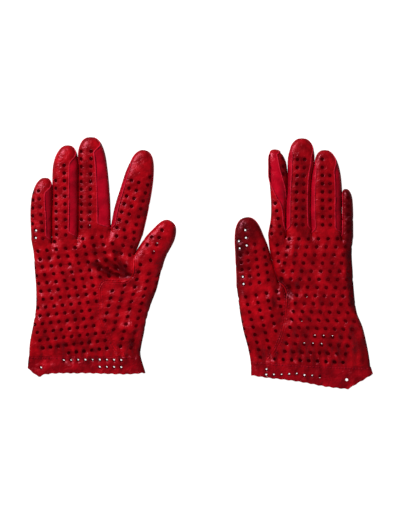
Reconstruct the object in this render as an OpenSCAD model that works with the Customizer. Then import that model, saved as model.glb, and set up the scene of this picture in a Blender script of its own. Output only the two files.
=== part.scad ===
// A pair of unlined leather driving gloves, laid flat with the palms up.
// Each glove is sewn from a palm, a back, a thumb gusset, a hem and, along the sides
// of the fingers, smooth strips called fourchettes. Every finger bends at its root
// and again halfway along. The origin is under the middle of the pair, +Y runs
// towards the fingertips and the gloves lie on z = 0. The punched holes are left out.

/* [Leather] */
// Thickness of the glove leather
leather_t = 1.0; // [0.7:0.1:1.1]
// Thickness of the hem, where the leather is turned over
hem_t = 1.5; // [1.2:0.1:1.8]
// Thickness of the elastic tape inside the wrist
elastic_t = 0.8; // [0.5:0.1:0.9]
// Width of the elastic tape
elastic_w = 6; // [4:0.5:8]

/* [Shape] */
// Half the height of the hand and fingers as they lie
half_h = 5.5; // [5:0.25:6]
// Half the height of the cuff's mouth
cuff_half_h = 4.5; // [4.25:0.25:5]
// Squareness of every rounded section: 2 is an ellipse
squareness = 2.5; // [2.2:0.1:3]
// How far in from its edge the hand is rounded
edge_round = 12; // [10:1:14]

/* [Bending] */
// Gap between the two parts of a digit at a bend
bend_gap = 0.6; // [0.4:0.1:0.8]
// Gap between two pieces of leather that are sewn together
seam_gap = 0.1; // [0.06:0.02:0.2]

/* [Hidden] */
// A digit: root, heading (degrees from +Y towards +X), length, half-width at the root,
// half-width where the nose starts, nose length, seams, root bend, middle bend.
// The seams are angles round the section from +X over the top: the front runs from the
// first to the second, the back from the third to the fourth, and fourchettes fill
// what is left between them. Each list runs from the little finger to the thumb.
RIGHT_DIGITS = [
    [[-146.2,  19.0],  3.6, 58.5,  9.2,  8.3, 13, [ 85, 190, 190, 335],  8, 34],
    [[-124.7,  22.5],  2.2, 84.5, 11.4, 10.9, 17, [ 77, 180, 250, 350],  9, 47],
    [[ -97.2,  30.4], -0.6, 85.0, 14.8, 12.9, 19, [ 82, 180, 245, 348],  9, 47],
    [[ -67.1,  26.7], 12.9, 78.3, 14.5, 12.6, 19, [ -8, 133, 215, 352],  9, 44],
    [[ -47.2,  -0.3], 32.2, 43.0, 15.4, 11.0, 15, [  0, 180, 180, 360],  7, 25]
];
LEFT_DIGITS = [
    [[ 136.4,  21.2],  0.4, 46.3,  5.2,  4.9,  8, [-10, 150, 220, 350],  8, 27],
    [[ 117.1,  25.8], -0.6, 77.2, 13.7, 13.2, 20, [ 80, 130, 215, 350],  9, 44],
    [[  90.9,  28.1],  0.6, 85.8, 11.4, 10.6, 17, [ 47, 128, 220, 330],  9, 48],
    [[  70.9,  23.5],  0.4, 80.0,  7.9,  7.4, 12, [118, 205, 205, 370],  9, 45],
    [[  53.9, -21.2], -9.0, 63.0, 18.6, 14.2, 25, [  0, 180, 180, 360],  8, 34]
];
// The side of the hand from the hem up to the little finger
RIGHT_ULNAR = [[-156.6, -86], [-155, -64], [-150.8, -44], [-150.8, -20], [-152.4, 0]];
LEFT_ULNAR = [[152.6, -97], [150.2, -72], [143.6, -46], [141, -24], [140.6, 0]];
// The side of the hand from the hem up to the thumb
RIGHT_RADIAL = [[-55.6, -86], [-53, -66], [-47.6, -46], [-41.2, -24]];
LEFT_RADIAL = [[46.6, -90], [44.2, -76], [40.2, -58], [37, -42]];
// The thumb's seam from the hem to just below the crotch of the thumb, palm then back
RIGHT_SEAMS = [
    [[-70, -86], [-80, -74], [-90, -56], [-91.5, -38], [-87, -21], [-73, -11]],
    [[-68, -86], [-67, -62], [-65, -40], [-62.5, -18], [-61.5, 0]]
];
LEFT_SEAMS = [
    [[60, -91], [69, -79], [76, -62], [79, -44], [78.5, -29]],
    [[62, -91], [63, -74], [65, -56], [68, -40], [71.5, -26]]
];
// Where the side of the palm goes between the crotch of the thumb and the index finger
RIGHT_WEB = [[-56.6, 15.4]];
LEFT_WEB = [[69.4, -6], [65, 10]];
// The bottom edges of the hems at the thumb, at the seam, midway, at the little finger.
// A vent beside the little finger lets the two hems part.
RIGHT_HEMS = [
    [[-52, -100.6], [-84, -102], [-116, -100.8], [-150, -104.2]],
    [[-52, -100.6], [-70, -101.8], [-112, -101], [-158.2, -97.8]]
];
LEFT_HEMS = [
    [[47.2, -103.8], [82, -107.8], [110, -111.8], [138.4, -115.2]],
    [[47.2, -103.8], [64, -105], [110, -106.2], [158.2, -102.6]]
];

NOSE_STEPS = [0.25, 0.48, 0.68, 0.84, 0.94, 0.985];
COLUMNS = [0, 0.1, 0.28, 0.5, 0.72, 0.9, 1];
ROWS = [0, 0.15, 0.33, 0.5, 0.66, 0.8, 0.9, 0.96, 1];
WEB_ROWS = [0.3, 0.58, 0.8, 0.93, 1];
ARC_STEP = 17;
SEAM_ANGLE = 0.7;
SEAM_STEPS = 30;
SLOPE_STEP = 0.05;

// Small helpers
function mix(a, b, t) = a + (b - a) * t;
function last(list) = list[len(list) - 1];
function bent(value, power) = sign(value) * pow(abs(value), power);
function dome(q) = pow(max(1 - pow(min(abs(q), 1), squareness), 0), 1 / squareness);

// A smooth line through points: t runs from 0 at the first to 1 at the last
function smooth(points, t) =
    let (
        spans = len(points) - 1,
        k = min(floor(t * spans), spans - 1),
        u = t * spans - k,
        a = points[max(k - 1, 0)],
        b = points[k],
        c = points[k + 1],
        d = points[min(k + 2, spans)]
    )
    b + u * (c - a) / 2 + u * u * (a - 2.5 * b + 2 * c - d / 2)
        + u * u * u * (1.5 * b - a / 2 - 1.5 * c + d / 2);

// A sheet between two grids of points, rows by columns
module sheet(outer, inner, flip = false) {
    rows = len(outer);
    cols = len(outer[0]);
    size = rows * cols;
    rim = concat(
        [for (j = [0 : cols - 2]) j],
        [for (i = [0 : rows - 2]) i * cols + cols - 1],
        [for (j = [cols - 1 : -1 : 1]) (rows - 1) * cols + j],
        [for (i = [rows - 1 : -1 : 1]) i * cols]
    );
    faces = concat(
        [for (i = [0 : rows - 2], j = [0 : cols - 2]) let (a = i * cols + j) each [
            [a, a + cols, a + 1], [a + 1, a + cols, a + cols + 1],
            [size + a, size + a + 1, size + a + cols],
            [size + a + 1, size + a + cols + 1, size + a + cols]]],
        [for (k = [0 : len(rim) - 1]) let (a = rim[k], b = rim[(k + 1) % len(rim)]) each [
            [a, b, size + a], [b, size + b, size + a]]]
    );
    polyhedron(
        points = concat([for (row = outer) each row], [for (row = inner) each row]),
        faces = [for (f = faces) flip ? [f[0], f[2], f[1]] : f]
    );
}

// Digits: a tube that tapers from its root and closes in a rounded nose
function nose_start(digit) = digit[2] - digit[5];
function closing(digit, v) = dome(max(v - nose_start(digit), 0) / digit[5]);
function wide(digit, v) =
    mix(digit[3], digit[4], min(v / nose_start(digit), 1)) * closing(digit, v);
function tall(digit, v) = half_h * pow(closing(digit, v), 0.9);
function place(digit, x, v, z) = [
    digit[0][0] + x * cos(digit[1]) + v * sin(digit[1]),
    digit[0][1] - x * sin(digit[1]) + v * cos(digit[1]),
    half_h + z
];
function corner(digit, side) =
    let (p = place(digit, side * digit[3], 0, 0))
    [p[0], p[1]];
function on_digit(digit, v, angle, depth) =
    let (
        a = wide(digit, v),
        b = tall(digit, v),
        p = bent(cos(angle), 2 / squareness),
        q = bent(sin(angle), 2 / squareness),
        back = v - SLOPE_STEP,
        lean_a = (a - wide(digit, back)) / SLOPE_STEP / a,
        lean_b = (b - tall(digit, back)) / SLOPE_STEP / b,
        across = bent(p, squareness - 1) / a,
        up = bent(q, squareness - 1) / b,
        along = -pow(abs(p), squareness) * lean_a - pow(abs(q), squareness) * lean_b,
        k = depth / norm([across, along, up])
    )
    place(digit, a * p - across * k, v - along * k, b * q - up * k);

// A strip of a digit between two angles and two distances from its root
module strip(digit, from_angle, to_angle, from_v, to_v) {
    nose = nose_start(digit);
    stations = concat(
        [from_v],
        to_v <= nose ? [to_v] : concat(
            from_v < nose ? [nose] : [],
            [for (q = NOSE_STEPS) if (nose + q * digit[5] > from_v) nose + q * digit[5]])
    );
    steps = max(ceil((to_angle - from_angle) / ARC_STEP), 2);
    angles = [for (k = [0 : steps])
        mix(from_angle + SEAM_ANGLE, to_angle - SEAM_ANGLE, k / steps)];
    sheet(
        [for (v = stations) [for (angle = angles) on_digit(digit, v, angle, 0)]],
        [for (v = stations) [for (angle = angles) on_digit(digit, v, angle, leather_t)]],
        true
    );
}

function base_span(digit) = [digit[7] + bend_gap / 2, digit[8] - bend_gap / 2];
function tip_span(digit) = [digit[8] + bend_gap / 2, digit[2]];

// The front and back leather of one part of a digit
module digit_leather(digit, span) {
    seams = digit[6];
    color("crimson") strip(digit, seams[0], seams[1], span[0], span[1]);
    color("crimson") strip(digit, seams[2], seams[3], span[0], span[1]);
}

// The strips down the sides of one part of a finger, wherever front and back are apart
module fourchettes(digit, span) {
    seams = digit[6];
    if (seams[2] > seams[1]) {
        color("darkred") strip(digit, seams[1], seams[2], span[0], span[1]);
    }
    if (seams[0] + 360 > seams[3]) {
        color("darkred") strip(digit, seams[3], seams[0] + 360, span[0], span[1]);
    }
}

// The short roots of the digits that stay with the hand, front or back half
module roots(digits, from_angle, to_angle) {
    for (digit = digits) {
        strip(digit, from_angle, to_angle, seam_gap / 2, digit[7] - bend_gap / 2);
    }
}

// A hand: digits, side by the little finger, side by the thumb, seams, web, hems, and
// the side of each finger (-1 left, 1 right) that faces the little finger's edge
RIGHT = [RIGHT_DIGITS, RIGHT_ULNAR, RIGHT_RADIAL, RIGHT_SEAMS, RIGHT_WEB, RIGHT_HEMS, -1];
LEFT = [LEFT_DIGITS, LEFT_ULNAR, LEFT_RADIAL, LEFT_SEAMS, LEFT_WEB, LEFT_HEMS, 1];
function thumb(hand) = hand[0][4];
function fingers(hand) = [for (k = [0 : 3]) hand[0][k]];
function ulnar_line(hand) = concat(hand[1], [corner(hand[0][0], hand[6])]);
function radial_line(hand) = concat(hand[2], [corner(thumb(hand), -hand[6])]);
function crotch(hand) = corner(thumb(hand), hand[6]);
function web_line(hand) = concat([crotch(hand)], hand[4], [corner(hand[0][3], -hand[6])]);
function seam_line(hand, face) = concat(hand[3][face], web_line(hand));
function thumb_share(hand, face) = len(hand[3][face]) / (len(seam_line(hand, face)) - 1);
function forks(hand) = [for (k = [0 : 2])
    (corner(hand[0][k], -hand[6]) + corner(hand[0][k + 1], hand[6])) / 2];

// How far a point of the hand is from its edges and from the forks between fingers
function reach(p, a, b) =
    let (t = (p - a) * (b - a) / ((b - a) * (b - a)))
    norm(p - mix(a, b, max(min(t, 1), 0)));
function line_reach(p, line) = min([for (k = [0 : len(line) - 2])
    reach(p, line[k], line[k + 1])]);
function edge_reach(hand, p) =
    min(
        line_reach(p, concat([hand[5][1][3]], ulnar_line(hand))),
        line_reach(p, concat([hand[5][0][0]], radial_line(hand))),
        line_reach(p, web_line(hand)),
        min([for (fork = forks(hand)) norm(p - fork)])
    );

// A point on the outside of the hand or, at a depth, inside its leather
function on_hand(hand, face, p, thick, depth) =
    let (
        middle = mix(cuff_half_h, half_h, max(min((p[1] + 95) / 45, 1), 0)),
        rise = dome(max(1 - edge_reach(hand, p) / edge_round, 0)),
        level = mix(thick + seam_gap / 2, middle, rise) - depth
    )
    [p[0], p[1], middle + (face == 0 ? level : -level)];

// A patch of the hand between four lines: u runs along the first two
function patch(hand, face, left, right, low, high, cols, rows, thick, depth) = [
    for (v = rows) [for (j = [0 : len(cols) - 1])
        let (
            u = cols[j],
            a = smooth(left, v),
            b = smooth(right, v),
            c = low[j],
            d = high[j],
            p = mix(a, b, u)
                + (1 - v) * (c - mix(low[0], last(low), u))
                + v * (d - mix(high[0], last(high), u))
        )
        on_hand(hand, face, p, thick, depth)]
];
module hand_sheet(hand, face, left, right, low, high, cols, rows, thick) {
    sheet(
        patch(hand, face, left, right, low, high, cols, rows, thick, 0),
        patch(hand, face, left, right, low, high, cols, rows, thick, thick),
        (hand[6] > 0) != (face > 0)
    );
}
function inset(values, width) = [for (k = [0 : len(values) - 1])
    mix(seam_gap / 2 / width, 1 - seam_gap / 2 / width, values[k])];

// The palm or back, from the hem to the roots of the fingers
module main_panel(hand, face) {
    points = [for (digit = fingers(hand), u = COLUMNS)
        mix(corner(digit, hand[6]), corner(digit, -hand[6]), u)];
    span = last(points) - points[0];
    cols = [for (p = points) (p - points[0]) * span / (span * span)];
    low = [for (u = cols) mix(hand[1][0], hand[3][face][0], u)];
    share = thumb_share(hand, face);
    rows = concat(inset(ROWS, 85) * share, [for (v = WEB_ROWS) mix(share, 1, v)]);
    color("crimson") hand_sheet(
        hand, face, ulnar_line(hand), seam_line(hand, face), low, points,
        inset(cols, 90), rows, leather_t
    );
    color("crimson") roots(
        fingers(hand), face == 0 ? 0 : 180, face == 0 ? 180 : 360
    );
}

// The leather round the base of the thumb, sewn to the palm and to the back
module gusset(hand) {
    for (face = [0, 1]) {
        seam = [for (k = [0 : SEAM_STEPS])
            smooth(seam_line(hand, face), k / SEAM_STEPS * thumb_share(hand, face))];
        top = [for (u = COLUMNS) mix(crotch(hand), corner(thumb(hand), -hand[6]), u)];
        low = [for (u = COLUMNS) mix(seam[0], hand[2][0], u)];
        color("crimson") hand_sheet(
            hand, face, seam, radial_line(hand), low, top,
            inset(COLUMNS, 40), inset(ROWS, 85), leather_t
        );
    }
    color("crimson") roots([thumb(hand)], 0, 180);
    color("crimson") roots([thumb(hand)], 180, 360);
}

// The turned-over band along the bottom of the palm or the back
module hem(hand, face) {
    ends = hand[5][face];
    cols = [for (k = [0 : 20]) k / 20];
    top_line = [hand[1][0], mix(hand[1][0], hand[3][face][0], 0.5), hand[3][face][0],
        hand[2][0]];
    low_line = [ends[3], ends[2], ends[1], ends[0]];
    color("firebrick") hand_sheet(
        hand, face, [ends[3], hand[1][0]], [ends[0], hand[2][0]],
        [for (u = cols) smooth(low_line, u)], [for (u = cols) smooth(top_line, u)],
        cols, inset([0, 0.5, 1], 15), hem_t
    );
}

// The tape inside the wrist that gathers the back
module wrist_elastic(hand) {
    start = mix(hand[1][1], hand[1][0], 0.75);
    end = mix(hand[2][1], hand[2][0], 0.75);
    lean = atan2(end[1] - start[1], end[0] - start[0]);
    span = norm(end - start) - 2 * edge_round;
    color("dimgray") translate([
        (start[0] + end[0]) / 2, (start[1] + end[1]) / 2,
        leather_t + seam_gap + elastic_t / 2
    ])
        rotate([0, 0, lean])
            cube([span, elastic_w, elastic_t], center = true);
}

module right_palm_panel() {
    main_panel(RIGHT, 0);
}
module right_back_panel() {
    main_panel(RIGHT, 1);
}
module right_thumb_gusset() {
    gusset(RIGHT);
}
module right_hem_front() {
    hem(RIGHT, 0);
}
module right_hem_back() {
    hem(RIGHT, 1);
}
module right_wrist_elastic() {
    wrist_elastic(RIGHT);
}
module right_thumb_base() {
    digit_leather(thumb(RIGHT), base_span(thumb(RIGHT)));
}
module right_thumb_tip() {
    digit_leather(thumb(RIGHT), tip_span(thumb(RIGHT)));
}
module right_pinky_base() {
    digit_leather(RIGHT_DIGITS[0], base_span(RIGHT_DIGITS[0]));
}
module right_pinky_tip() {
    digit_leather(RIGHT_DIGITS[0], tip_span(RIGHT_DIGITS[0]));
}
module right_pinky_fourchettes_base() {
    fourchettes(RIGHT_DIGITS[0], base_span(RIGHT_DIGITS[0]));
}
module right_pinky_fourchettes_tip() {
    fourchettes(RIGHT_DIGITS[0], tip_span(RIGHT_DIGITS[0]));
}
module right_ring_base() {
    digit_leather(RIGHT_DIGITS[1], base_span(RIGHT_DIGITS[1]));
}
module right_ring_tip() {
    digit_leather(RIGHT_DIGITS[1], tip_span(RIGHT_DIGITS[1]));
}
module right_ring_fourchettes_base() {
    fourchettes(RIGHT_DIGITS[1], base_span(RIGHT_DIGITS[1]));
}
module right_ring_fourchettes_tip() {
    fourchettes(RIGHT_DIGITS[1], tip_span(RIGHT_DIGITS[1]));
}
module right_middle_base() {
    digit_leather(RIGHT_DIGITS[2], base_span(RIGHT_DIGITS[2]));
}
module right_middle_tip() {
    digit_leather(RIGHT_DIGITS[2], tip_span(RIGHT_DIGITS[2]));
}
module right_middle_fourchettes_base() {
    fourchettes(RIGHT_DIGITS[2], base_span(RIGHT_DIGITS[2]));
}
module right_middle_fourchettes_tip() {
    fourchettes(RIGHT_DIGITS[2], tip_span(RIGHT_DIGITS[2]));
}
module right_index_base() {
    digit_leather(RIGHT_DIGITS[3], base_span(RIGHT_DIGITS[3]));
}
module right_index_tip() {
    digit_leather(RIGHT_DIGITS[3], tip_span(RIGHT_DIGITS[3]));
}
module right_index_fourchettes_base() {
    fourchettes(RIGHT_DIGITS[3], base_span(RIGHT_DIGITS[3]));
}
module right_index_fourchettes_tip() {
    fourchettes(RIGHT_DIGITS[3], tip_span(RIGHT_DIGITS[3]));
}
module left_palm_panel() {
    main_panel(LEFT, 0);
}
module left_back_panel() {
    main_panel(LEFT, 1);
}
module left_thumb_gusset() {
    gusset(LEFT);
}
module left_hem_front() {
    hem(LEFT, 0);
}
module left_hem_back() {
    hem(LEFT, 1);
}
module left_wrist_elastic() {
    wrist_elastic(LEFT);
}
module left_thumb_base() {
    digit_leather(thumb(LEFT), base_span(thumb(LEFT)));
}
module left_thumb_tip() {
    digit_leather(thumb(LEFT), tip_span(thumb(LEFT)));
}
module left_pinky_base() {
    digit_leather(LEFT_DIGITS[0], base_span(LEFT_DIGITS[0]));
}
module left_pinky_tip() {
    digit_leather(LEFT_DIGITS[0], tip_span(LEFT_DIGITS[0]));
}
module left_pinky_fourchettes_base() {
    fourchettes(LEFT_DIGITS[0], base_span(LEFT_DIGITS[0]));
}
module left_pinky_fourchettes_tip() {
    fourchettes(LEFT_DIGITS[0], tip_span(LEFT_DIGITS[0]));
}
module left_ring_base() {
    digit_leather(LEFT_DIGITS[1], base_span(LEFT_DIGITS[1]));
}
module left_ring_tip() {
    digit_leather(LEFT_DIGITS[1], tip_span(LEFT_DIGITS[1]));
}
module left_ring_fourchettes_base() {
    fourchettes(LEFT_DIGITS[1], base_span(LEFT_DIGITS[1]));
}
module left_ring_fourchettes_tip() {
    fourchettes(LEFT_DIGITS[1], tip_span(LEFT_DIGITS[1]));
}
module left_middle_base() {
    digit_leather(LEFT_DIGITS[2], base_span(LEFT_DIGITS[2]));
}
module left_middle_tip() {
    digit_leather(LEFT_DIGITS[2], tip_span(LEFT_DIGITS[2]));
}
module left_middle_fourchettes_base() {
    fourchettes(LEFT_DIGITS[2], base_span(LEFT_DIGITS[2]));
}
module left_middle_fourchettes_tip() {
    fourchettes(LEFT_DIGITS[2], tip_span(LEFT_DIGITS[2]));
}
module left_index_base() {
    digit_leather(LEFT_DIGITS[3], base_span(LEFT_DIGITS[3]));
}
module left_index_tip() {
    digit_leather(LEFT_DIGITS[3], tip_span(LEFT_DIGITS[3]));
}
module left_index_fourchettes_base() {
    fourchettes(LEFT_DIGITS[3], base_span(LEFT_DIGITS[3]));
}
module left_index_fourchettes_tip() {
    fourchettes(LEFT_DIGITS[3], tip_span(LEFT_DIGITS[3]));
}

right_palm_panel();
right_back_panel();
right_thumb_gusset();
right_hem_front();
right_hem_back();
right_wrist_elastic();
right_thumb_base();
right_thumb_tip();
right_pinky_base();
right_pinky_tip();
right_pinky_fourchettes_base();
right_pinky_fourchettes_tip();
right_ring_base();
right_ring_tip();
right_ring_fourchettes_base();
right_ring_fourchettes_tip();
right_middle_base();
right_middle_tip();
right_middle_fourchettes_base();
right_middle_fourchettes_tip();
right_index_base();
right_index_tip();
right_index_fourchettes_base();
right_index_fourchettes_tip();
left_palm_panel();
left_back_panel();
left_thumb_gusset();
left_hem_front();
left_hem_back();
left_wrist_elastic();
left_thumb_base();
left_thumb_tip();
left_pinky_base();
left_pinky_tip();
left_pinky_fourchettes_base();
left_pinky_fourchettes_tip();
left_ring_base();
left_ring_tip();
left_ring_fourchettes_base();
left_ring_fourchettes_tip();
left_middle_base();
left_middle_tip();
left_middle_fourchettes_base();
left_middle_fourchettes_tip();
left_index_base();
left_index_tip();
left_index_fourchettes_base();
left_index_fourchettes_tip();
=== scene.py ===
"""Looks of a pair of punched leather driving gloves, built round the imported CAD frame.

Lengths in the classes are millimetres in the row frame: +X across both gloves, +Y towards
the fingertips, +Z up out of the palms. Meshes are written in metres.
"""
import logging
import math
from collections.abc import Callable, Sequence
from dataclasses import dataclass, field
from enum import Enum

import bpy
import numpy as np
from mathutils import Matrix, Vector
from mathutils.geometry import delaunay_2d_cdt


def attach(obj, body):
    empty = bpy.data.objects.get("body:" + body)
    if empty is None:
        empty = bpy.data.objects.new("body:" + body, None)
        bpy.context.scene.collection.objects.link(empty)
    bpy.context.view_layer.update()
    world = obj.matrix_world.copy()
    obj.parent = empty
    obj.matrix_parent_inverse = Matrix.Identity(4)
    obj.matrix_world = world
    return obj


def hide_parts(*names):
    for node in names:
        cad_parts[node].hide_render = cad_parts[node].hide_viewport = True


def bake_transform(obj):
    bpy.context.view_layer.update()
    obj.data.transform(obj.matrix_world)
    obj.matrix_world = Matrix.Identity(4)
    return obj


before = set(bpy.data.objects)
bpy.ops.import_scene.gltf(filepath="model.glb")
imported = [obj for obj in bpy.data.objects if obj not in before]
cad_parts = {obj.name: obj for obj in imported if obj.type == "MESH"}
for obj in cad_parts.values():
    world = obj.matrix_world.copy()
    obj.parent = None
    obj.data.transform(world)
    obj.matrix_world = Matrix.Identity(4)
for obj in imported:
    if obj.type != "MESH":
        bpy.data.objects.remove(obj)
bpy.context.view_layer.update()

LOG = logging.getLogger("gloves")
Array = np.ndarray
Pair = tuple[float, float]

MM = 0.001

# Leather: its thickness, its punched holes and the spacing of its mesh.
LEATHER = 0.95
HEM_LEATHER = 1.7
HOLE_RADIUS = 1.68
PALM_PINHOLE = 0.5
DIGIT_PINHOLE = 0.85
PINHOLE_SHIFT = (0.5, 1.2)
HEM_FRONT_HOLE = 1.25
HEM_BACK_HOLE = 0.72
HOLE_SIDES = 14
HOLE_EDGE = 0.75
HOLE_COLLAR = 0.5
RIM_DROP = 0.18
EDGE_STEP = 1.3
GRID_STEP = 2.2
GRID_ROW = 0.87
GRID_CLEAR = 1.25
GRID_HOLE_CLEAR = 1.35

# Digits: how square their section is, how they close, and their heights as they lie.
SQUARE = 2.4
NOSE_POWER = 2.1
NOSE_DROP = 0.85
TUCK = 1.2
DIGIT_MID = 3.7
DIGIT_UP = 5.6
DIGIT_LOW = 3.6
ANGLE_STEP = 2.5
NARROWEST_STRIP = 4.0

# Hand and hem: the rounding of their edges and their heights as they lie.
EDGE_ROUND = 12.0
ROOT_FADE = 12.0
HEM_MID = 2.5
HEM_UP = 2.7
HEM_LOW = 2.4
HEM_LIFT = 0.35
HEM_BELOW = 0.9
HEM_WAVE = 6.9
HEM_WAVE_SIZE = 0.35
GATHER_WAVE = 6.4
LOWEST = 0.04

# Seams: the half-width of a welt, and how far beside a seam its stitches run.
DIGIT_WELT = 0.62
HAND_WELT = 0.6
SEAM_GROOVE = 0.35
SEAM_GROOVE_WIDTH = 1.5
STITCH_OFFSET = 1.9
HEM_STITCH_DROP = 1.6
STITCH_PITCH = 2.7
STITCH_LENGTH = 1.9
THREAD_RADIUS = 0.24


class Side(Enum):
    """Which hand a glove is for."""

    RIGHT = "right"
    LEFT = "left"


class Face(Enum):
    """The two faces of a glove lying flat."""

    PALM = 1
    BACK = -1


SEAM_FACES = {"palm_seam": Face.PALM, "back_seam": Face.BACK}


class Layer(Enum):
    """Material slots of a leather piece."""

    OUTER = 0
    INNER = 1
    EDGE = 2
    THREAD = 3


# ---------------------------------------------------------------- numbers and curves


def smooth(x: Array | float, low: float, high: float) -> Array:
    """Smoothstep of x from 0 at low to 1 at high."""
    t = np.clip((np.asarray(x, float) - low) / (high - low), 0, 1)
    return t * t * (3 - 2 * t)


def dome(q: Array, power: float = SQUARE) -> Array:
    """Height of a superellipse of unit size at q from its middle."""
    return np.maximum(1 - np.minimum(np.abs(q), 1) ** power, 0) ** (1 / power)


def signed_power(x: Array, power: float) -> Array:
    """Power of the size of x, with the sign of x."""
    return np.sign(x) * np.abs(x) ** power


def spline(points: Sequence[Pair], step: float = 1.0) -> Array:
    """Samples a Catmull-Rom curve.

    Args:
        points: the control points, in order.
        step: rough distance between samples, mm.

    Returns:
        The samples as an array of points, ends included.
    """
    p = np.asarray(points, float)
    if len(p) == 2:
        n = max(int(np.linalg.norm(p[1] - p[0]) / step), 1)
        return p[0] + (p[1] - p[0]) * np.linspace(0, 1, n + 1)[:, None]
    padded = np.vstack([2 * p[0] - p[1], p, 2 * p[-1] - p[-2]])
    out = []
    for k in range(len(p) - 1):
        a, b, c, d = padded[k : k + 4]
        n = max(int(np.linalg.norm(c - b) / step), 2)
        t = (np.arange(n) / n)[:, None]
        out.append(
            0.5 * (2 * b + (c - a) * t + (2 * a - 5 * b + 4 * c - d) * t**2
                   + (3 * b - a - 3 * c + d) * t**3)
        )
    out.append(p[-1:])
    return np.vstack(out)


def resample(line: Array, step: float) -> Array:
    """Spaces the points of a polyline evenly.

    Args:
        line: the polyline.
        step: wanted distance between points, mm.

    Returns:
        The new points, both ends included.
    """
    length = np.concatenate([[0], np.cumsum(np.linalg.norm(np.diff(line, axis=0), axis=1))])
    count = max(int(round(length[-1] / step)), 1)
    wanted = np.linspace(0, length[-1], count + 1)
    return np.stack([np.interp(wanted, length, line[:, k]) for k in range(line.shape[1])], 1)


def line_distance(p: Array, line: Array) -> Array:
    """Distance from each point to a polyline in the plane.

    Args:
        p: points of the plan.
        line: the polyline.

    Returns:
        The distance of each point.
    """
    best = np.full(len(p), 1e9)
    for a, b in zip(line[:-1], line[1:]):
        ab = b - a
        t = np.clip(((p - a) @ ab) / max(float(ab @ ab), 1e-9), 0, 1)
        best = np.minimum(best, np.linalg.norm(p - a - t[:, None] * ab, axis=1))
    return best


def inside(p: Array, polygon: Array) -> Array:
    """True for each point that lies inside a closed polygon.

    Args:
        p: the points.
        polygon: its corners, in order.

    Returns:
        One flag for each point.
    """
    x, y = p[:, 0], p[:, 1]
    result = np.zeros(len(p), bool)
    for a, b in zip(polygon, np.roll(polygon, -1, 0)):
        crosses = (a[1] > y) != (b[1] > y)
        at = (b[0] - a[0]) * (y - a[1]) / np.where(b[1] == a[1], 1e-12, b[1] - a[1]) + a[0]
        result ^= crosses & (x < at)
    return result


def wrinkles(p: Array, seed: int) -> Array:
    """Short sharp wrinkles of gathered leather, between about -1 and 0.6.

    Args:
        p: points of the plan.
        seed: seed of the wrinkles.

    Returns:
        The height at each point, to be scaled.
    """
    rng = np.random.default_rng(seed)
    total = np.zeros(len(p))
    for wave in (11.0, 8.0, 6.0):
        for _ in range(2):
            turn, phase, bend = rng.uniform(0, 2 * math.pi, 3)
            along = p[:, 0] * math.cos(turn) + p[:, 1] * math.sin(turn)
            aside = p[:, 1] * math.cos(turn) - p[:, 0] * math.sin(turn)
            warp = 1.6 * np.sin(aside / 7 + bend) + 0.8 * np.sin(aside / 3.1 + phase)
            patch = 0.5 + 0.5 * np.sin(aside / 9 + bend * 2) * np.sin(along / 17 + phase)
            ridge = 0.45 - np.abs(np.sin(math.pi * (along + warp) / wave + phase)) ** 0.7
            total += ridge * patch * 0.45
    return total


def dents(p: Array, seed: int) -> Array:
    """A smooth, seeded unevenness of soft leather, between about -1 and 1.

    Args:
        p: points of the plan.
        seed: seed of the dents.

    Returns:
        The height at each point, to be scaled.
    """
    rng = np.random.default_rng(seed)
    total = np.zeros(len(p))
    for wave, size in ((34, 0.5), (21, 0.45), (13, 0.3), (8.5, 0.16)):
        for _ in range(4):
            turn, phase = rng.uniform(0, 2 * math.pi, 2)
            stretch = rng.uniform(0.7, 1.4)
            along = p[:, 0] * math.cos(turn) + p[:, 1] * math.sin(turn)
            total += size / 2 * np.sin(2 * math.pi * along * stretch / wave + phase)
    return total


# ---------------------------------------------------------------- leather meshes


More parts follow.
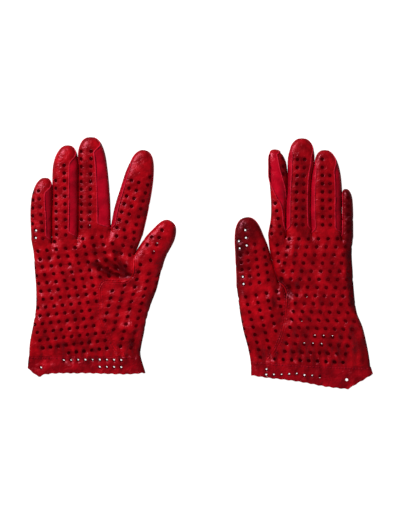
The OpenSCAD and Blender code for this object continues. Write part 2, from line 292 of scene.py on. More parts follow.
@dataclass
class MeshParts:
    """Vertices, faces and their materials, gathered before they become one object."""

    points: list[Array] = field(default_factory=list)
    faces: list[tuple[int, ...]] = field(default_factory=list)
    layers: list[int] = field(default_factory=list)
    flat: list[bool] = field(default_factory=list)
    tone_and_painted_light: list[Array] = field(default_factory=list)
    edge: list[Array] = field(default_factory=list)
    creased: set[tuple[int, int]] = field(default_factory=set)
    size: int = 0

    def add(self, points: Array, faces: Sequence[Sequence[int]], layers: Sequence[int],
            flat: Sequence[bool], tone_and_painted_light: Array, edge: Array,
            creased: Sequence[tuple[int, int]] = ()) -> None:
        """Adds one closed piece of surface.

        Args:
            points: its vertices, mm.
            faces: its faces, as indexes into points.
            layers: the material slot of each face.
            flat: whether each face is shaded flat.
            tone_and_painted_light: brightness of the colour at each vertex, random variation
                with painted light and shade.
            edge: closeness of each vertex to a cut edge, 0 to 1.
            creased: pairs of vertices whose edge stays sharp.
        """
        self.creased |= {tuple(sorted((int(a) + self.size, int(b) + self.size)))
                         for a, b in creased}
        self.points.append(points)
        self.faces.extend(tuple(int(i) + self.size for i in f) for f in faces)
        self.layers.extend(layers)
        self.flat.extend(flat)
        self.tone_and_painted_light.append(tone_and_painted_light)
        self.edge.append(edge)
        self.size += len(points)

    def build(self, name: str, materials: Sequence[bpy.types.Material]) -> bpy.types.Object:
        """Makes the object.

        Args:
            name: its name.
            materials: one material for each Layer.

        Returns:
            The new object, linked to the scene.
        """
        mesh = bpy.data.meshes.new(name)
        mesh.from_pydata(np.vstack(self.points) * MM, [], self.faces)
        for material in materials:
            mesh.materials.append(material)
        mesh.polygons.foreach_set("material_index", self.layers)
        mesh.polygons.foreach_set("use_smooth", [not f for f in self.flat])
        for label, values in (("tone_and_painted_light", self.tone_and_painted_light), ("edge", self.edge)):
            store = mesh.attributes.new(label, "FLOAT", "POINT")
            store.data.foreach_set("value", np.concatenate(values).astype(np.float32))
        ends = np.zeros(len(mesh.edges) * 2, np.int32)
        mesh.edges.foreach_get("vertices", ends)
        sharp = [tuple(sorted(pair)) in self.creased for pair in ends.reshape(-1, 2).tolist()]
        store = mesh.attributes.new("sharp_edge", "BOOLEAN", "EDGE")
        store.data.foreach_set("value", sharp)
        mesh.update()
        obj = bpy.data.objects.new(name, mesh)
        bpy.context.scene.collection.objects.link(obj)
        return obj


Place = Callable[[Array], tuple[Array, Array]]


@dataclass
class Panel:
    """A piece of leather cut flat, punched and laid over a form.

    The outline and the holes (place and radius) are in the leather's own plane, in mm.
    place gives, for points of that plane, where they lie and a point behind each of them;
    tone_and_painted_light gives the brightness of the colour at points of the finished piece,
    random variation with painted light and shade, and thin the share of the thickness that
    points of the plane keep.
    """

    outline: list[Array]
    holes: Array
    place: Place
    tone_and_painted_light: Callable[[Array], Array]
    thickness: float = LEATHER
    thin: Callable[[Array], Array] | None = None

    def boundary(self) -> Array:
        """The outline as one closed loop with evenly spaced points.

        Returns:
            The loop's points, the last one not repeated.
        """
        loop = np.vstack([resample(side, EDGE_STEP)[:-1] for side in self.outline])
        keep = np.linalg.norm(loop - np.roll(loop, 1, 0), axis=1) > 0.05
        return loop[keep]

    def usable_holes(self, loop: Array) -> Array:
        """The holes that lie whole within the outline and clear of each other.

        Args:
            loop: the outline's points.

        Returns:
            Place and radius of each hole kept.
        """
        holes = self.holes[inside(self.holes[:, :2], loop)]
        closed = np.vstack([loop, loop[:1]])
        holes = holes[line_distance(holes[:, :2], closed) > holes[:, 2] + HOLE_EDGE]
        kept: list[Array] = []
        for hole in holes:
            if all(np.linalg.norm((hole - k)[:2]) > hole[2] + k[2] + 1.2 for k in kept):
                kept.append(hole)
        return np.array(kept).reshape(-1, 3)

    def filler(self, loop: Array, holes: Array) -> Array:
        """Staggered points inside the outline, clear of its edge and of the holes.

        Args:
            loop: the outline's points.
            holes: place and radius of each hole.

        Returns:
            The points.
        """
        low, high = loop.min(0), loop.max(0)
        rows = []
        for k, y in enumerate(np.arange(low[1], high[1], GRID_STEP * GRID_ROW)):
            x = np.arange(low[0] + (k % 2) * GRID_STEP / 2, high[0], GRID_STEP)
            rows.append(np.column_stack([x, np.full(len(x), y)]))
        grid = np.vstack(rows)
        grid = grid[inside(grid, loop)]
        near = np.sqrt(((grid[:, None] - loop[None]) ** 2).sum(2)).min(1)
        grid = grid[near > GRID_CLEAR]
        for hole in holes:
            clear = hole[2] + GRID_HOLE_CLEAR
            grid = grid[np.linalg.norm(grid - hole[:2], axis=1) > clear]
        return grid

    def cut_flat(self, loop: Array, holes: Array) -> tuple[Array, Array]:
        """Cuts the leather flat, with its holes.

        Args:
            loop: the outline's points.
            holes: place and radius of each hole.

        Returns:
            The points of the flat leather and its triangles.
        """
        turn = np.arange(HOLE_SIDES) * 2 * math.pi / HOLE_SIDES
        ring = np.stack([np.cos(turn), np.sin(turn)], 1)
        start = len(loop)
        points = [loop]
        edges = [(k, (k + 1) % start) for k in range(start)]
        for hole in holes:
            points.append(hole[:2] + ring * hole[2])
            edges += [(start + k, start + (k + 1) % HOLE_SIDES) for k in range(HOLE_SIDES)]
            start += HOLE_SIDES
        points += [hole[:2] + ring * (hole[2] + HOLE_COLLAR) for hole in holes]
        points.append(self.filler(loop, holes))
        made = delaunay_2d_cdt([Vector(p) for p in np.vstack(points)], edges, [], 0, 1e-5)
        spots = np.array([tuple(v) for v in made[0]], float)
        faces = np.array([f for f in made[2] if len(f) == 3], int)
        middle = spots[faces].mean(1)
        good = inside(middle, loop)
        for hole in holes:
            good &= np.linalg.norm(middle - hole[:2], axis=1) > hole[2] * 0.97
        faces = faces[good]
        used = np.unique(faces)
        index = np.full(len(spots), -1)
        index[used] = np.arange(len(used))
        return spots[used], index[faces]

    def rims(self, spots: Array, holes: Array) -> tuple[Array, Array]:
        """Which points lie on a hole's rim, and how close each is to a rim, 0 to 1.

        Args:
            spots: points of the flat leather.
            holes: place and radius of each hole.

        Returns:
            The flags and the closeness.
        """
        rim = np.zeros(len(spots), bool)
        closeness = np.zeros(len(spots))
        for hole in holes:
            gap = np.linalg.norm(spots - hole[:2], axis=1) - hole[2]
            rim |= gap < 0.05
            closeness = np.maximum(closeness, 1 - np.clip(gap / 1.2, 0, 1))
        return rim, closeness

    def mesh(self, parts: MeshParts) -> None:
        """Adds the panel's two skins and its cut edges to parts.

        Args:
            parts: where the mesh goes.
        """
        loop = self.boundary()
        holes = self.usable_holes(loop)
        spots, faces = self.cut_flat(loop, holes)
        outer, behind = self.place(spots)
        corners = outer[faces]
        area = np.cross(corners[:, 1] - corners[:, 0], corners[:, 2] - corners[:, 0])
        away = corners.mean(1) - behind[faces].mean(1)
        if float((area * away).sum()) < 0:
            faces = faces[:, ::-1]
            area = -area
        normal = np.zeros_like(outer)
        for k in range(3):
            np.add.at(normal, faces[:, k], area)
        normal /= np.maximum(np.linalg.norm(normal, axis=1), 1e-12)[:, None]
        depth = np.full(len(spots), self.thickness)
        if self.thin is not None:
            depth = depth * self.thin(spots)
        rim, closeness = self.rims(spots, holes)
        shown = outer - normal * (rim * RIM_DROP)[:, None]
        inner = outer - normal * depth[:, None]
        size = len(spots)
        sides = dict.fromkeys((int(f[k]), int(f[(k + 1) % 3])) for f in faces
                              for k in range(3))
        walls = [(b, a, a + size, b + size) for a, b in sides if (b, a) not in sides]
        tone_and_painted_light = self.tone_and_painted_light(outer)
        parts.add(
            np.vstack([shown, inner]),
            [*faces, *(faces[:, ::-1] + size), *walls],
            [Layer.OUTER.value] * len(faces) + [Layer.INNER.value] * len(faces)
            + [Layer.EDGE.value] * len(walls),
            [False] * (2 * len(faces)) + [True] * len(walls),
            np.concatenate([tone_and_painted_light, tone_and_painted_light]), np.concatenate([closeness, closeness]),
            [pair for b, a, c, d in walls for pair in ((a, b), (c, d))],
        )


def add_welt(parts: MeshParts, line: Array, up: Array, radius: float,
             layer: Layer = Layer.OUTER, sides: int = 6, flatten: float = 1.0,
             tone_and_painted_light: float = 1.1) -> None:
    """Adds a raised seam, a rounded ridge along a line.

    Args:
        parts: where the mesh goes.
        line: its middle line, mm.
        up: the direction away from the leather at each point.
        radius: half its width.
        layer: the material slot.
        sides: corners of its section.
        flatten: its height as a share of its width.
        tone_and_painted_light: brightness of its colour; above 1 it lightens the ridge as a
            painted highlight.
    """
    along = np.gradient(line, axis=0)
    along /= np.maximum(np.linalg.norm(along, axis=1), 1e-9)[:, None]
    across = np.cross(along, up)
    across /= np.maximum(np.linalg.norm(across, axis=1), 1e-9)[:, None]
    up = np.cross(across, along)
    count = len(line)
    taper = np.minimum(1, np.minimum(np.arange(count), np.arange(count)[::-1]) * 0.4 + 0.35)
    rings = []
    for k in range(sides):
        turn = 2 * math.pi * k / sides
        rings.append(line + taper[:, None] * radius
                     * (across * math.cos(turn) + up * flatten * math.sin(turn)))
    points = np.stack(rings, 1).reshape(-1, 3)
    points[:, 2] = np.maximum(points[:, 2], LOWEST)
    faces = []
    for i in range(count - 1):
        for k in range(sides):
            a, b = i * sides + k, i * sides + (k + 1) % sides
            faces.append((a, a + sides, b + sides, b))
    faces.append(tuple(range(sides)))
    faces.append(tuple(range((count - 1) * sides, count * sides))[::-1])
    parts.add(points, faces, [layer.value] * len(faces), [False] * len(faces),
              np.full(len(points), tone_and_painted_light), np.zeros(len(points)))


def add_stitches(parts: MeshParts, line: Array, up: Array) -> None:
    """Adds a run of stitches along a line on the leather.

    Args:
        parts: where the mesh goes.
        line: the line of the stitches, mm.
        up: the direction away from the leather at each point.
    """
    run = np.concatenate([[0], np.cumsum(np.linalg.norm(np.diff(line, axis=0), axis=1))])

    def at(s: Array, values: Array) -> Array:
        """Values along the line at distances s."""
        return np.stack([np.interp(s, run, values[:, k]) for k in range(3)], 1)

    for start in np.arange(0.4, run[-1] - STITCH_LENGTH, STITCH_PITCH):
        s = start + np.linspace(0, 1, 5) * STITCH_LENGTH
        lift = np.sin(np.linspace(0, math.pi, 5)) * 0.3 - 0.08
        normal = at(s, up)
        add_welt(parts, at(s, line) + normal * lift[:, None], normal, THREAD_RADIUS,
                 Layer.THREAD, sides=5)


# ---------------------------------------------------------------- digits


@dataclass(frozen=True)
class Column:
    """A row of holes along a digit.

    start and end are how far it lies from the digit's axis at the root and at the tip,
    first and last the distances from the root between which holes are punched. Within
    the ranges of distance in through, the back has a pinhole right behind each hole.
    """

    start: float
    end: float
    first: float
    last: float
    pitch: float
    through: tuple[Pair, ...] = ()

    def pierced(self, v: float) -> bool:
        """Whether the hole at distance v goes through both faces."""
        return any(low <= v <= high for low, high in self.through)


@dataclass(frozen=True)
class Digit:
    """One finger or thumb: a tapering tube that follows a gently bent middle line.

    root is its place in the plan and heading its direction, in degrees from +Y towards
    +X; nose is the length over which its tip closes. knots are (distance from the root,
    sideways shift, half-width). seams are the angles round the section, from +X over the
    top, of the front's two edges and the back's two edges at the root, and tip_seams the
    same near the tip. bends are the distances of its two hinges, columns its rows of
    holes and over the rows on the back's leather where that turns up over the edge. up
    and low are its height above and below its middle. The seams leave a fork within
    fork_run, and close over the share seam_close of the nose.
    """

    side: Side
    name: str
    root: Pair
    heading: float
    length: float
    nose: float
    knots: tuple[tuple[float, float, float], ...]
    seams: tuple[float, float, float, float]
    bends: Pair
    columns: tuple[Column, ...]
    tip_seams: tuple[float, float, float, float] | None = None
    over: tuple[Column, ...] = ()
    up: float = DIGIT_UP
    low: float = DIGIT_LOW
    fork_run: float = 6.0
    seam_close: float = 0.75
    tables: dict[str, Array] = field(default_factory=dict, compare=False)

    def axes(self) -> tuple[Array, Array]:
        """Directions across and along the digit in the plan.

        Returns:
            The two unit vectors.
        """
        turn = math.radians(self.heading)
        return (np.array([math.cos(turn), -math.sin(turn)]),
                np.array([math.sin(turn), math.cos(turn)]))

    def shift(self, v: Array) -> Array:
        """Sideways shift of the middle line at distances v."""
        rows = self.rows()
        return np.interp(v, rows[:, 0], rows[:, 1])

    def rows(self) -> Array:
        """The knots joined by a smooth curve.

        Returns:
            Rows of distance, sideways shift and half-width.
        """
        if "rows" not in self.tables:
            k = np.array(self.knots)
            out = []
            slopes = np.gradient(k[:, 1:], k[:, 0], axis=0)
            for i in range(len(k) - 1):
                h = k[i + 1, 0] - k[i, 0]
                t = (np.arange(12) / 12)[:, None]
                body = ((2 * t**3 - 3 * t**2 + 1) * k[i, 1:] + (t**3 - 2 * t**2 + t) * h
                        * slopes[i] + (3 * t**2 - 2 * t**3) * k[i + 1, 1:]
                        + (t**3 - t**2) * h * slopes[i + 1])
                out.append(np.hstack([k[i, 0] + t * h, body]))
            out.append(k[-1:])
            self.tables["rows"] = np.vstack(out)
        return self.tables["rows"]

    def closing(self, v: Array) -> Array:
        """How far the nose has closed at distances v: 1 before it, 0 at the tip."""
        return dome(np.maximum(v - (self.length - self.nose), 0) / self.nose, NOSE_POWER)

    def width(self, v: Array) -> Array:
        """Half-width at distances v."""
        rows = self.rows()
        return np.interp(v, rows[:, 0], rows[:, 2]) * self.closing(v)

    def section(self, v: Array, angle: Array) -> tuple[Array, Array]:
        """Place across the digit and height above the floor at distances v and angles.

        Args:
            v: distances from the root.
            angle: angles round the section, degrees.

        Returns:
            The two coordinates.
        """
        c, s = np.cos(np.radians(angle)), np.sin(np.radians(angle))
        close = self.closing(v) ** NOSE_DROP
        inset = 0.25 * smooth(-np.asarray(v, float), 0, 0.4)
        x = self.shift(v) + (self.width(v) - inset) * signed_power(c, 2 / SQUARE)
        tall = np.where(s > 0, self.up, self.low) * close - inset
        return x, DIGIT_MID + tall * signed_power(s, 2 / SQUARE)

    def world(self, x: Array, v: Array, z: Array) -> Array:
        """Points of the row frame from places across and along the digit.

        Args:
            x: places across the digit.
            v: distances from the root.
            z: heights.

        Returns:
            The points.
        """
        across, along = self.axes()
        plan = np.array(self.root) + x[:, None] * across + v[:, None] * along
        return np.column_stack([plan, z])

    def local(self, p: Array) -> tuple[Array, Array]:
        """Places across and along the digit of points in the plan.

        Args:
            p: points of the plan.

        Returns:
            Both coordinates, across first.
        """
        across, along = self.axes()
        rel = p - np.array(self.root)
        return rel @ across, rel @ along

    def corner(self, sign: int) -> Pair:
        """The plan point where the digit's edge leaves the hand.

        Args:
            sign: -1 or 1, the edge towards -X or +X.

        Returns:
            The point.
        """
        zero = np.zeros(1)
        x = self.shift(zero) + sign * self.width(zero)
        return tuple(self.world(x, zero, zero)[0, :2])

    def grids(self) -> None:
        """Builds the tables that lay flat leather round the digit."""
        start = self.length - self.nose
        turn = np.linspace(0, math.pi / 2, 70)[1:]
        v = np.concatenate([[-TUCK, -0.4], np.linspace(0, start, 70),
                            start + self.nose * np.sin(turn)])
        v = np.minimum(v, self.length - 0.02)
        angles = np.arange(-30, 500.1, ANGLE_STEP)
        x, z = self.section(np.repeat(v, len(angles)), np.tile(angles, len(v)))
        x, z = x.reshape(len(v), -1), z.reshape(len(v), -1)
        arc = np.concatenate([np.zeros((len(v), 1)),
                              np.cumsum(np.hypot(np.diff(x), np.diff(z)), 1)], 1)
        top = DIGIT_MID + self.up * self.closing(v) ** NOSE_DROP
        run = np.concatenate([[0], np.cumsum(np.hypot(np.diff(v), np.diff(top)))]) - TUCK
        run += np.arange(len(run)) * 1e-9
        self.tables.update(v=v, angles=angles, arc=arc, run=run)

    def seam(self, k: int, v: Array) -> Array:
        """Angle of seam k at distances v: it starts at a fork and ends at the nose.

        Args:
            k: which of the four seams.
            v: distances from the root.

        Returns:
            The angle at each distance.
        """
        last = self.seams if self.tip_seams is None else self.tip_seams
        angle = self.seams[k] + (last[k] - self.seams[k]) * smooth(v, 15, self.length - 12)
        home = (0.0, 180.0, 180.0, 360.0)[k]
        opened = smooth(v, -1.0, self.fork_run)
        closed = smooth(v, self.length - self.nose * self.seam_close, self.length - 1.5)
        return home + (angle - home) * opened * (1 - closed)

    def arc_at(self, v: Array, angle: Array, about: float) -> Array:
        """Distance round the section from the angle about to each angle.

        Args:
            v: distances from the root.
            angle: an angle for each distance.
            about: the angle that distances start from.

        Returns:
            The distances, negative below about.
        """
        t = self.tables
        row = np.interp(v, t["v"], np.arange(len(t["v"])))
        low = np.minimum(row.astype(int), len(t["v"]) - 2)
        part = row - low
        col = (angle - t["angles"][0]) / ANGLE_STEP
        ref = (about - t["angles"][0]) / ANGLE_STEP

        def look(c: Array) -> Array:
            """Table value at the fractional column c.

            Args:
                c: columns of the table, with fractions.

            Returns:
                The length of arc at each.
            """
            c0 = np.clip(np.floor(c).astype(int), 0, len(t["angles"]) - 2)
            f = c - c0
            a = t["arc"][low, c0] * (1 - f) + t["arc"][low, c0 + 1] * f
            b = t["arc"][low + 1, c0] * (1 - f) + t["arc"][low + 1, c0 + 1] * f
            return a * (1 - part) + b * part

        return look(col) - look(np.full(len(col), ref))

    def angle_at(self, spots: Array, about: float) -> tuple[Array, Array]:
        """Distance along and angle round the digit for points of the flat leather.

        Args:
            spots: points of the flat leather.
            about: the angle that the leather is measured from.

        Returns:
            The distances and the angles.
        """
        t = self.tables
        v = np.interp(spots[:, 1], t["run"], t["v"])
        row = np.interp(v, t["v"], np.arange(len(t["v"])))
        low = np.minimum(row.astype(int), len(t["v"]) - 2)
        angle = np.zeros(len(spots))
        for i in np.unique(low):
            pick = low == i
            part = row[pick] - i
            found = []
            for r in (i, i + 1):
                base = np.interp(about, t["angles"], t["arc"][r])
                found.append(np.interp(base + spots[pick, 0], t["arc"][r], t["angles"]))
            angle[pick] = found[0] * (1 - part) + found[1] * part
        return v, angle

    def placer(self, about: float, seed: int) -> Place:
        """The function that lays flat leather on the digit, measured from an angle.

        Args:
            about: the angle that the leather is measured from.
            seed: seed of the leather's unevenness.

        Returns:
            The function.
        """

        def place(spots: Array) -> tuple[Array, Array]:
            """Where points of the leather lie, and points on the digit's axis.

            Args:
                spots: points of the flat leather.

            Returns:
                The two sets of points.
            """
            v, angle = self.angle_at(spots, about)
            x, z = self.section(v, angle)
            soft = smooth(v, 4, 16) * (1 - smooth(v, self.length - 8, self.length))
            plan = np.column_stack([v, x])
            bump = (dents(plan * [0.75, 1.3], seed) * 0.45
                    + wrinkles(plan * [0.8, 1.2], seed + 3) * 0.3) * soft
            z = z + bump * np.sin(np.radians(angle)) * np.where(z > DIGIT_MID, 1, 0.5)
            zero = np.full(len(v), DIGIT_MID)
            z = np.maximum(z, LOWEST)
            return self.world(x, v, z), self.world(self.shift(v), v, zero)

        return place

    def outline(self, first: int, second: int, about: float, low: float,
                high: float) -> list[Array]:
        """The flat outline of the leather between two seams and two distances.

        Args:
            first: the seam on one side.
            second: the seam on the other side.
            about: the angle that the leather is measured from.
            low: the distance where it starts.
            high: the distance where it ends.

        Returns:
            Its sides, in order.
        """
        t = self.tables
        high = min(high, self.length - 0.05)
        turn = self.length - self.nose
        v = np.unique(np.concatenate([
            np.linspace(low, high, 40),
            self.length - np.geomspace(0.05, self.nose, 30) if high > turn else [low],
        ]))
        v = v[(v >= low) & (v <= high)]
        run = np.interp(v, t["v"], t["run"])
        offset = 360.0 if second < first else 0.0
        a = np.column_stack([self.arc_at(v, self.seam(first, v), about), run])
        b = np.column_stack([self.arc_at(v, self.seam(second, v) + offset, about), run])
        sides = [np.array([a[0], b[0]]), b, np.array([b[-1], a[-1]]), a[::-1]]
        return [s for s in sides if np.linalg.norm(np.diff(s, axis=0), axis=1).sum() > 0.08]

    def hole_rows(self, face: Face) -> list[tuple[float, float, float, bool]]:
        """Every hole of a face.

        Args:
            face: the front or the back.

        Returns:
            For each hole its distance along the digit, its place across, its radius, and
            whether it lies on the back's leather where that turns up over the edge.
        """
        rows = []
        for column in self.columns:
            slope = (column.end - column.start) / self.length
            for v in np.arange(column.first, column.last, column.pitch):
                x = column.start + slope * v
                if face is Face.PALM:
                    rows.append((v, x, HOLE_RADIUS, False))
                elif column.pierced(v):
                    rows.append((v, x, DIGIT_PINHOLE, False))
                elif not column.pierced(v + column.pitch):
                    half = v + column.pitch / 2
                    rows.append((half, x + slope * column.pitch / 2, HOLE_RADIUS, False))
        if face is Face.BACK:
            front = [row[:2] for row in self.hole_rows(Face.PALM)]
            rows = [row for row in rows if row[2] == DIGIT_PINHOLE
                    or min(math.dist(row[:2], spot) for spot in front) > 2 * HOLE_RADIUS]
            for column in self.over:
                for v in np.arange(column.first, column.last, column.pitch):
                    x = column.start + (column.end - column.start) * v / self.length
                    rows.append((v, x, HOLE_RADIUS, True))
        return rows

    def cut(self, face: Face) -> float:
        """Where the leather of a face is parted, clear of the rows of holes.

        Args:
            face: the front or the back.

        Returns:
            The distance from the root.
        """
        tries = np.arange(2 * self.bends[0] + 0.5, self.part_line() + 0.01, 0.25)
        rows = np.array([row[0] for row in self.hole_rows(face)])
        room = np.abs(tries[:, None] - rows[None]).min(1)
        return float(tries[np.argmax(np.minimum(room, 2.7) + tries * 0.004)])

    def part_line(self) -> float:
        """Where the leather starts to follow the tip when the digit bends."""
        root_bend, middle_bend = self.bends
        return max(middle_bend - 9.0, 2 * root_bend + 1.5)

    def punched(self, face: Face, about: float, low: float, high: float) -> Array:
        """Holes of the front or back between two distances, in the flat leather.

        Args:
            face: the front or the back.
            about: the angle that the leather is measured from.
            low: the distance where it starts.
            high: the distance where it ends.

        Returns:
            Place and radius of each hole.
        """
        out = []
        for v, x, radius, over in self.hole_rows(face):
            room = radius + HOLE_EDGE + 0.1
            for line in (0.0, low, high):
                if abs(v - line) < room and 0 <= line < self.length - 1:
                    v = line + (room if v >= line else -room)
            if not low < v < high:
                continue
            at = np.array([v])
            rel = float(np.clip((x - self.shift(at)) / self.width(at), -1, 1)[0])
            angle = math.degrees(math.acos(signed_power(np.array(rel), SQUARE / 2)))
            if over:
                angle = 360 + angle
            elif face is Face.BACK:
                angle = 360 - angle
            s = self.arc_at(at, np.array([angle]), about)[0]
            out.append((s, np.interp(v, self.tables["v"], self.tables["run"]), radius))
        return np.array(out, float).reshape(-1, 3)

    def seam_points(self, k: int, low: float, high: float) -> tuple[Array, Array]:
        """The line of seam k and the direction away from the digit along it.

        Args:
            k: which of the four seams.
            low: the distance where it starts.
            high: the distance where it ends.

        Returns:
            The line and the directions.
        """
        high = min(high, self.length - 0.3)
        v = np.unique(np.concatenate([np.arange(low, high, 1.4), [high]]))
        angle = self.seam(k, v)
        x, z = self.section(v, angle)
        line = self.world(x, v, z)
        core = self.world(self.shift(v), v, np.full(len(v), DIGIT_MID))
        out = line - core
        out /= np.maximum(np.linalg.norm(out, axis=1), 1e-9)[:, None]
        return line, out

    def leather(self, ends: dict[Face, Pair], seed: int,
                tone_and_painted_light: Callable[[Array], Array]) -> MeshParts:
        """The mesh of the front and the back between two distances, with the seams.

        Args:
            ends: the two distances, for each face.
            seed: seed of the leather's unevenness.
            tone_and_painted_light: brightness of the colour at points of the glove, random
                variation with painted light and shade.

        Returns:
            The mesh.
        """
        mesh = MeshParts()
        for face, first, second, about in ((Face.PALM, 0, 1, 90.0),
                                           (Face.BACK, 2, 3, 270.0)):
            low, high = ends[face]
            Panel(self.outline(first, second, about, low, high),
                  self.punched(face, about, low, high), self.placer(about, seed),
                  tone_and_painted_light).mesh(mesh)
        low, high = ends[Face.PALM]
        done: list[Array] = []
        for k in range(4):
            line, out = self.seam_points(k, max(low, 0.6), high)
            if all(np.abs(line - other).max() >= 0.6 for other in done):
                done.append(line)
                # the seam welts are lightened to 1.15, a painted highlight along the seam
                # ridges
                add_welt(mesh, line + out * 0.05, out, DIGIT_WELT, Layer.THREAD,
                         flatten=0.9, tone_and_painted_light=1.15)
        return mesh

    def fourchettes(self, low: float, high: float, seed: int,
                    tone_and_painted_light: Callable[[Array], Array]) -> MeshParts:
        """The mesh of the strips down both sides between two distances.

        Args:
            low: the distance where they start.
            high: the distance where they end.
            seed: seed of the leather's unevenness.
            tone_and_painted_light: brightness of the colour at points of the glove, random
                variation with painted light and shade.

        Returns:
            The mesh, empty where front and back meet.
        """
        mesh = MeshParts()
        mid = np.array([(low + min(high, self.length - self.nose)) / 2])
        for first, second, about, turn in ((1, 2, 180.0, 0.0), (3, 0, 360.0, 360.0)):
            gap = self.seam(second, mid)[0] + turn - self.seam(first, mid)[0]
            if gap > NARROWEST_STRIP:
                Panel(self.outline(first, second, about, low, high), np.zeros((0, 3)),
                      self.placer(about, seed), tone_and_painted_light).mesh(mesh)
        return mesh

    def build(self, kit: "Kit", seed: int, tone_and_painted_light: Callable[[Array], Array]) -> None:
        """Makes the digit's leather and fourchettes, lower and upper parts.

        Args:
            kit: the materials.
            seed: seed of the leather's unevenness.
            tone_and_painted_light: brightness of the colour at points of the glove, random
                variation with painted light and shade.
        """
        self.grids()
        hand = f"{self.side.value}_hand"
        digit = f"{self.side.value}_{self.name}"
        root_end = 2 * self.bends[0]
        start = self.part_line()
        middle_end = 2 * self.bends[1] - start
        cuts = {face: self.cut(face) for face in Face}
        hinges = {"base": (hand, f"{digit}_base", 0.0, root_end),
                  "tip": (f"{digit}_base", f"{digit}_tip", start, middle_end)}
        for part, hinge in hinges.items():
            ends = {face: (-TUCK, cut) if part == "base" else (cut, self.length)
                    for face, cut in cuts.items()}
            pieces = [(self.leather(ends, seed, tone_and_painted_light), "leather", f"{digit}_{part}",
                       "glove_leather", kit.leather())]
            sides = self.fourchettes(*ends[Face.PALM], seed, tone_and_painted_light)
            if sides.size:
                pieces.append((sides, "fourchettes", f"{digit}_fourchettes_{part}",
                               "smooth_leather", kit.smooth_leather()))
            for mesh, label, cad_node, slot, materials in pieces:
                obj = mesh.build(f"{digit}_{part}_{label}", materials)
                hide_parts(cad_node)
                self.hinge(obj, *hinge)
                LOG.info("made %s", obj.name)

    def hinge(self, obj: bpy.types.Object, a: str, b: str, low: float,
              high: float) -> None:
        """Blends a piece between two bodies over a stretch of the digit.

        Args:
            obj: the piece.
            a: not used.
            b: not used.
            low: distance from the root where the bend starts.
            high: distance from the root where it ends.
        """
        ends = self.world(np.zeros(2), np.array([low, high]), np.full(2, DIGIT_MID)) * MM
        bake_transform(obj)


# ---------------------------------------------------------------- hands


@dataclass(frozen=True)
class Lattice:
    """The rows and columns of holes of a hand panel.

    A hole lies at origin + i * (across + j * spread) + j * down.
    """

    origin: Pair
    across: Pair
    down: Pair
    spread: Pair = (0.0, 0.0)

    def points(self, columns: range, rows: range, shift: Pair = (0.0, 0.0)) -> Array:
        """The holes of some columns and rows, moved by a share of a column and a row.

        Args:
            columns: which columns.
            rows: which rows.
            shift: the move, in columns and rows.

        Returns:
            The points.
        """
        i, j = np.meshgrid(np.array(columns) + shift[0], np.array(rows) + shift[1])
        i, j = i.ravel()[:, None], j.ravel()[:, None]
        return (np.array(self.origin) + i * (np.array(self.across)
                + j * np.array(self.spread)) + j * np.array(self.down))


@dataclass(frozen=True)
class Crease:
    """A fold or a ridge pressed into the hand along a line."""

    line: tuple[Pair, ...]
    height: float
    width: float
    face: Face = Face.PALM


@dataclass(frozen=True)
class PaintedLight:
    """A stretch of painted shade (negative amount) or painted highlight (positive amount) along
    a line, standing in for how the light falls on the leather.
    """

    line: tuple[Pair, ...]
    amount: float
    width: float


